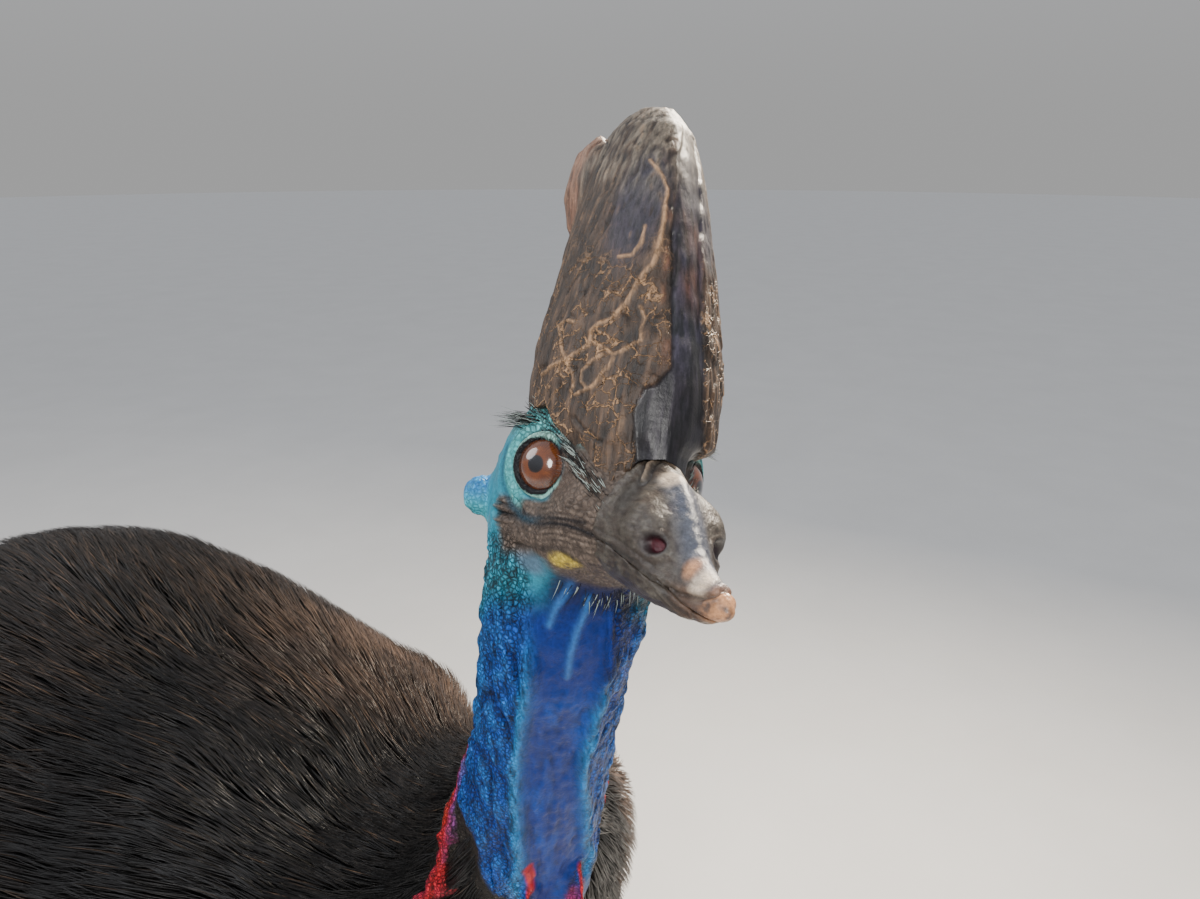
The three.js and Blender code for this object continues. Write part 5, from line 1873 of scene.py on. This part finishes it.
def finish(name, roughness, coat=0.0, shine=0.3):
    """A material with its Principled node, its tint attribute and object coordinates."""
    made = bpy.data.materials.new(name)
    made.use_nodes = True
    tree = made.node_tree
    shader = tree.nodes["Principled BSDF"]
    shader.inputs["Roughness"].default_value = roughness
    shader.inputs["Coat Weight"].default_value = coat
    shader.inputs["Specular IOR Level"].default_value = shine
    tint = node(tree, "Attribute", {"attribute_name": "tint"}).outputs["Color"]
    where = node(tree, "TexCoord").outputs["Object"]
    return made, tree, shader, tint, where


def kept(tree, name):
    """A number kept at each vertex."""
    return node(tree, "Attribute", {"attribute_name": name}).outputs["Fac"]


def use_group(tree, group, **values):
    """A shared group placed in a material; gives its outputs."""
    made = tree.nodes.new("ShaderNodeGroup")
    made.node_tree = group
    for label, value in values.items():
        feed(tree, made.inputs[label], value)
    return made.outputs


def grained(tree, tint, where, size, amount):
    return use_group(tree, grain_group, Colour=tint, Coordinates=where, Size=size, Amount=amount)


def bumped(tree, shader, layers):
    """Chains Bump nodes from (height, distance in metres, strength) layers into the shader's Normal."""
    last = None
    for height_from, distance, strength in layers:
        bump = node(tree, "Bump", Height=height_from, Distance=distance, Strength=strength)
        if last is not None:
            tree.links.new(last.outputs["Normal"], bump.inputs["Normal"])
        last = bump
    tree.links.new(last.outputs["Normal"], shader.inputs["Normal"])


def rough_from(tree, shader, rough, roughness):
    tree.links.new(computed(tree, "MULTIPLY", rough, roughness), shader.inputs["Roughness"])


skin_finish, tree, shader, tint, where = finish("bare_skin", SKIN_ROUGH, 0.0, SKIN_SHINE)
scaly, warty, corded = (kept(tree, name) for name in ("scaly", "warty", "corded"))
pores = grained(tree, tint, where, 620.0, 0.30)
upright = node(tree, "Mapping", Vector=where, Scale=(1, 1, 0.3)).outputs["Vector"]
cords = grained(tree, pores["Colour"], upright, 300.0, 0.85)
small = use_group(tree, scales_group, Colour=cords["Colour"], Coordinates=where, Size=430.0, Gap=0.72)
large = use_group(tree, scales_group, Colour=pores["Colour"], Coordinates=where, Size=170.0, Gap=0.6)
cord_mix = mixed(tree, corded, pores["Colour"], cords["Colour"])
wart_mix = mixed(tree, warty, cord_mix, small["Colour"])
tree.links.new(mixed(tree, scaly, wart_mix, large["Colour"]), shader.inputs["Base Color"])
bumped(tree, shader, [
    (pores["Height"], 0.0007, 0.5),
    (computed(tree, "MULTIPLY", small["Height"], warty), 0.0007, 0.8),
    (computed(tree, "MULTIPLY", large["Height"], scaly), 0.0012, 0.9),
    (computed(tree, "MULTIPLY", cords["Height"], corded), 0.0040, 0.9),
])
rough_from(tree, shader, pores["Rough"], SKIN_ROUGH)
print("material:", skin_finish.name)

# %% [markdown]
# ## Horn
# Casque, bill, claws and quills are horn: streaks along one way, flecks, and a polish where it is worn. A
# Mapping node turns the pattern with the head, so that streaks run up the casque and along the bill.

# %% Horn materials
HEAD_EULER = Matrix(HEAD_TURNED.T.tolist()).to_euler()
UNTURNED = (0, 0, 0)
HORN_SHINE = 0.4
CASQUE_WEBS = ((85.0, 0.055), (190.0, 0.048))


def horn(name, size, stretch, turn, roughness, amount, polish_rough, webs=()):
    """Horn with streaks along one way; where polish is 1 it is smoother. Each of webs is a size and a
    width of a network of raised tan lines, shown where the attribute veined is above 0."""
    made, tree, shader, tint, where = finish(name, roughness, 0.0, HORN_SHINE)
    raised = []
    for web_size, web_width in webs:
        net = use_group(tree, network_group, Coordinates=where, Size=web_size, Width=web_width)
        raised.append(computed(tree, "MULTIPLY", net["Lines"], kept(tree, "veined")))
        tint = mixed(tree, raised[-1], tint, (*HORN_TAN, 1))
    turned = node(tree, "Mapping", Vector=where, Rotation=turn).outputs["Vector"]
    drawn = node(tree, "Mapping", Vector=turned, Scale=stretch).outputs["Vector"]
    streak = grained(tree, tint, drawn, size, amount)
    fleck = grained(tree, streak["Colour"], where, 900.0, 0.25)
    tree.links.new(fleck["Colour"], shader.inputs["Base Color"])
    polish = kept(tree, "polish")
    rough = node(tree, "MapRange", Value=polish, To_Min=roughness, To_Max=polish_rough).outputs[0]
    rough_from(tree, shader, rough, streak["Rough"])
    flat = node(tree, "MapRange", Value=polish, To_Min=1.0, To_Max=0.3).outputs[0]
    height = computed(tree, "MULTIPLY", streak["Height"], flat)
    layers = [(height, 0.0012, 0.7), (fleck["Height"], 0.0003, 0.5)]
    bumped(tree, shader, layers + [(web_height, 0.0007, 0.9) for web_height in raised])
    return made


casque_finish = horn("casque_horn", 520.0, (1, 1, 0.13), HEAD_EULER, 0.5, 0.75, 0.40, CASQUE_WEBS)
bill_finish = horn("bill_horn", 620.0, (1, 0.2, 1), HEAD_EULER, 0.46, 0.35, 0.34)
claw_finish = horn("claw_horn", 500.0, (1, 0.2, 1), UNTURNED, 0.42, 0.4, 0.32)
quill_finish = horn("quill", 420.0, (1, 0.15, 1), UNTURNED, 0.36, 0.3, 0.36)
print("materials so far:", len(bpy.data.materials))

# %% [markdown]
# ## Plumes, scutes and eyes
# Plumes and bristles are dark keratin with a little gloss, and scutes are dry horn plates. The eye is a
# painted iris under a clear wet coat, which alone gives it its sharp light.

# %% Plume, scute and eye materials
PLUME_ROUGH, SCUTE_ROUGH, EYE_ROUGH, WET_ROUGH = 0.40, 0.44, 0.16, 0.02

plume_finish, tree, shader, tint, where = finish("plume", PLUME_ROUGH, 0.0, 0.25)
patchy = grained(tree, tint, where, 14.0, 0.45)
fine = grained(tree, patchy["Colour"], where, 260.0, 0.30)
tree.links.new(fine["Colour"], shader.inputs["Base Color"])
rough_from(tree, shader, fine["Rough"], PLUME_ROUGH)

scute_finish, tree, shader, tint, where = finish("scute", SCUTE_ROUGH)
dry = grained(tree, tint, where, 520.0, 0.35)
tree.links.new(dry["Colour"], shader.inputs["Base Color"])
bumped(tree, shader, [(dry["Height"], 0.0006, 0.6)])
rough_from(tree, shader, dry["Rough"], SCUTE_ROUGH)

eye_finish, tree, shader, tint, where = finish("eye", EYE_ROUGH, 1.0, 0.5)
shader.inputs["Coat Roughness"].default_value = WET_ROUGH
iris = grained(tree, tint, where, 1500.0, 0.2)
tree.links.new(iris["Colour"], shader.inputs["Base Color"])
print("materials:", len(bpy.data.materials))

# %% [markdown]
# ## Putting the pieces on the part
# Each piece gets its finish and rides on the part's one body, and the solids that it stands for are
# hidden.

# %% Assign
for piece, nodes_of, slot, made in (
    (skin, FLESH, "face_skin", skin_finish),
    (casque, ["casque"], "casque_horn", casque_finish),
    (claws, CLAWS, "claw_horn", claw_finish),
    (bills["bill_upper"], ["bill_upper"], "bill_horn", bill_finish),
    (bills["bill_lower"], ["bill_lower"], "bill_horn", bill_finish),
    (scutes, [], "leg_scale", scute_finish),
    (bristles, [], "plumage", plume_finish),
    (quills, [], "plumage", quill_finish),
    *((eye, [name], "eye", eye_finish) for eye, name in eyes),
    *((plume, [], "plumage", plume_finish) for plume in plumes),
):
    piece.data.materials.append(made)
    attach(piece, "root")
    if nodes_of:
        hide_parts(*nodes_of)
bpy.data.objects.remove(outer)

# %% [markdown]
# ## Floor and background
# A plain pale floor, staged rather than part of the model, runs into a sky without a sun. It is grey at
# the horizon and pale blue above, and fills the shadows softly.

# %% Floor and background
FLOOR_REACH = 30
FLOOR_TINT, FLOOR_ROUGH = (0.62, 0.61, 0.59, 1), 0.85
disc = bmesh.new()
bmesh.ops.create_circle(disc, cap_ends=True, segments=128, radius=FLOOR_REACH)
floor = link("floor", meshed("floor", disc))
floor_finish = bpy.data.materials.new("floor")
floor_finish.use_nodes = True
tree = floor_finish.node_tree
where = node(tree, "TexCoord").outputs["Object"]
paper = grained(tree, FLOOR_TINT, where, 3.0, 0.03)
tree.links.new(paper["Colour"], tree.nodes["Principled BSDF"].inputs["Base Color"])
tree.nodes["Principled BSDF"].inputs["Roughness"].default_value = FLOOR_ROUGH
floor.data.materials.append(floor_finish)

HORIZON_TINT, ZENITH_TINT = (0.52, 0.52, 0.52, 1), (0.88, 0.92, 1.0, 1)
SKY_CHANGE, SKY_STRENGTH = 0.6, 0.75
world = bpy.data.worlds.new("studio")
bpy.context.scene.world = world
world.use_nodes = True
tree = world.node_tree
toward = node(tree, "SeparateXYZ", i0=node(tree, "TexCoord").outputs["Generated"])
climb = node(tree, "MapRange", soft, Value=toward.outputs["Z"], From_Min=0.0, From_Max=SKY_CHANGE)
sky = mixed(tree, climb.outputs[0], HORIZON_TINT, ZENITH_TINT)
tree.links.new(sky, tree.nodes["Background"].inputs["Color"])
tree.nodes["Background"].inputs["Strength"].default_value = SKY_STRENGTH
print("background strength:", SKY_STRENGTH)

# %% [markdown]
# ## The lamps and the end
# A large soft key stands over the camera, a warmer lamp high behind on the bird's left, where the sun is
# in the photo, and a cool one behind.

# %% Lamps and the end
def area_light(name, offset, size, power, tint):
    """A soft light aimed at the head from an offset in metres."""
    light = bpy.data.lights.new(name, "AREA")
    light.shape = "DISK"
    light.size = size
    light.energy = power
    light.color = tint
    lamp = bpy.data.objects.new(name, light)
    bpy.context.scene.collection.objects.link(lamp)
    lamp.location = HEAD_ORIGIN + np.array(offset)
    lamp.rotation_euler = Vector(-np.array(offset)).to_track_quat("-Z", "Y").to_euler()


area_light("key", (-2.0, -0.9, 1.3), 1.2, 80, (1.0, 0.98, 0.95))
area_light("sun_side", (1.5, 0.1, 1.0), 0.4, 165, (1.0, 0.88, 0.72))
area_light("back_fill", (-1.2, 2.6, 1.8), 2.0, 60, (0.95, 0.97, 1.0))
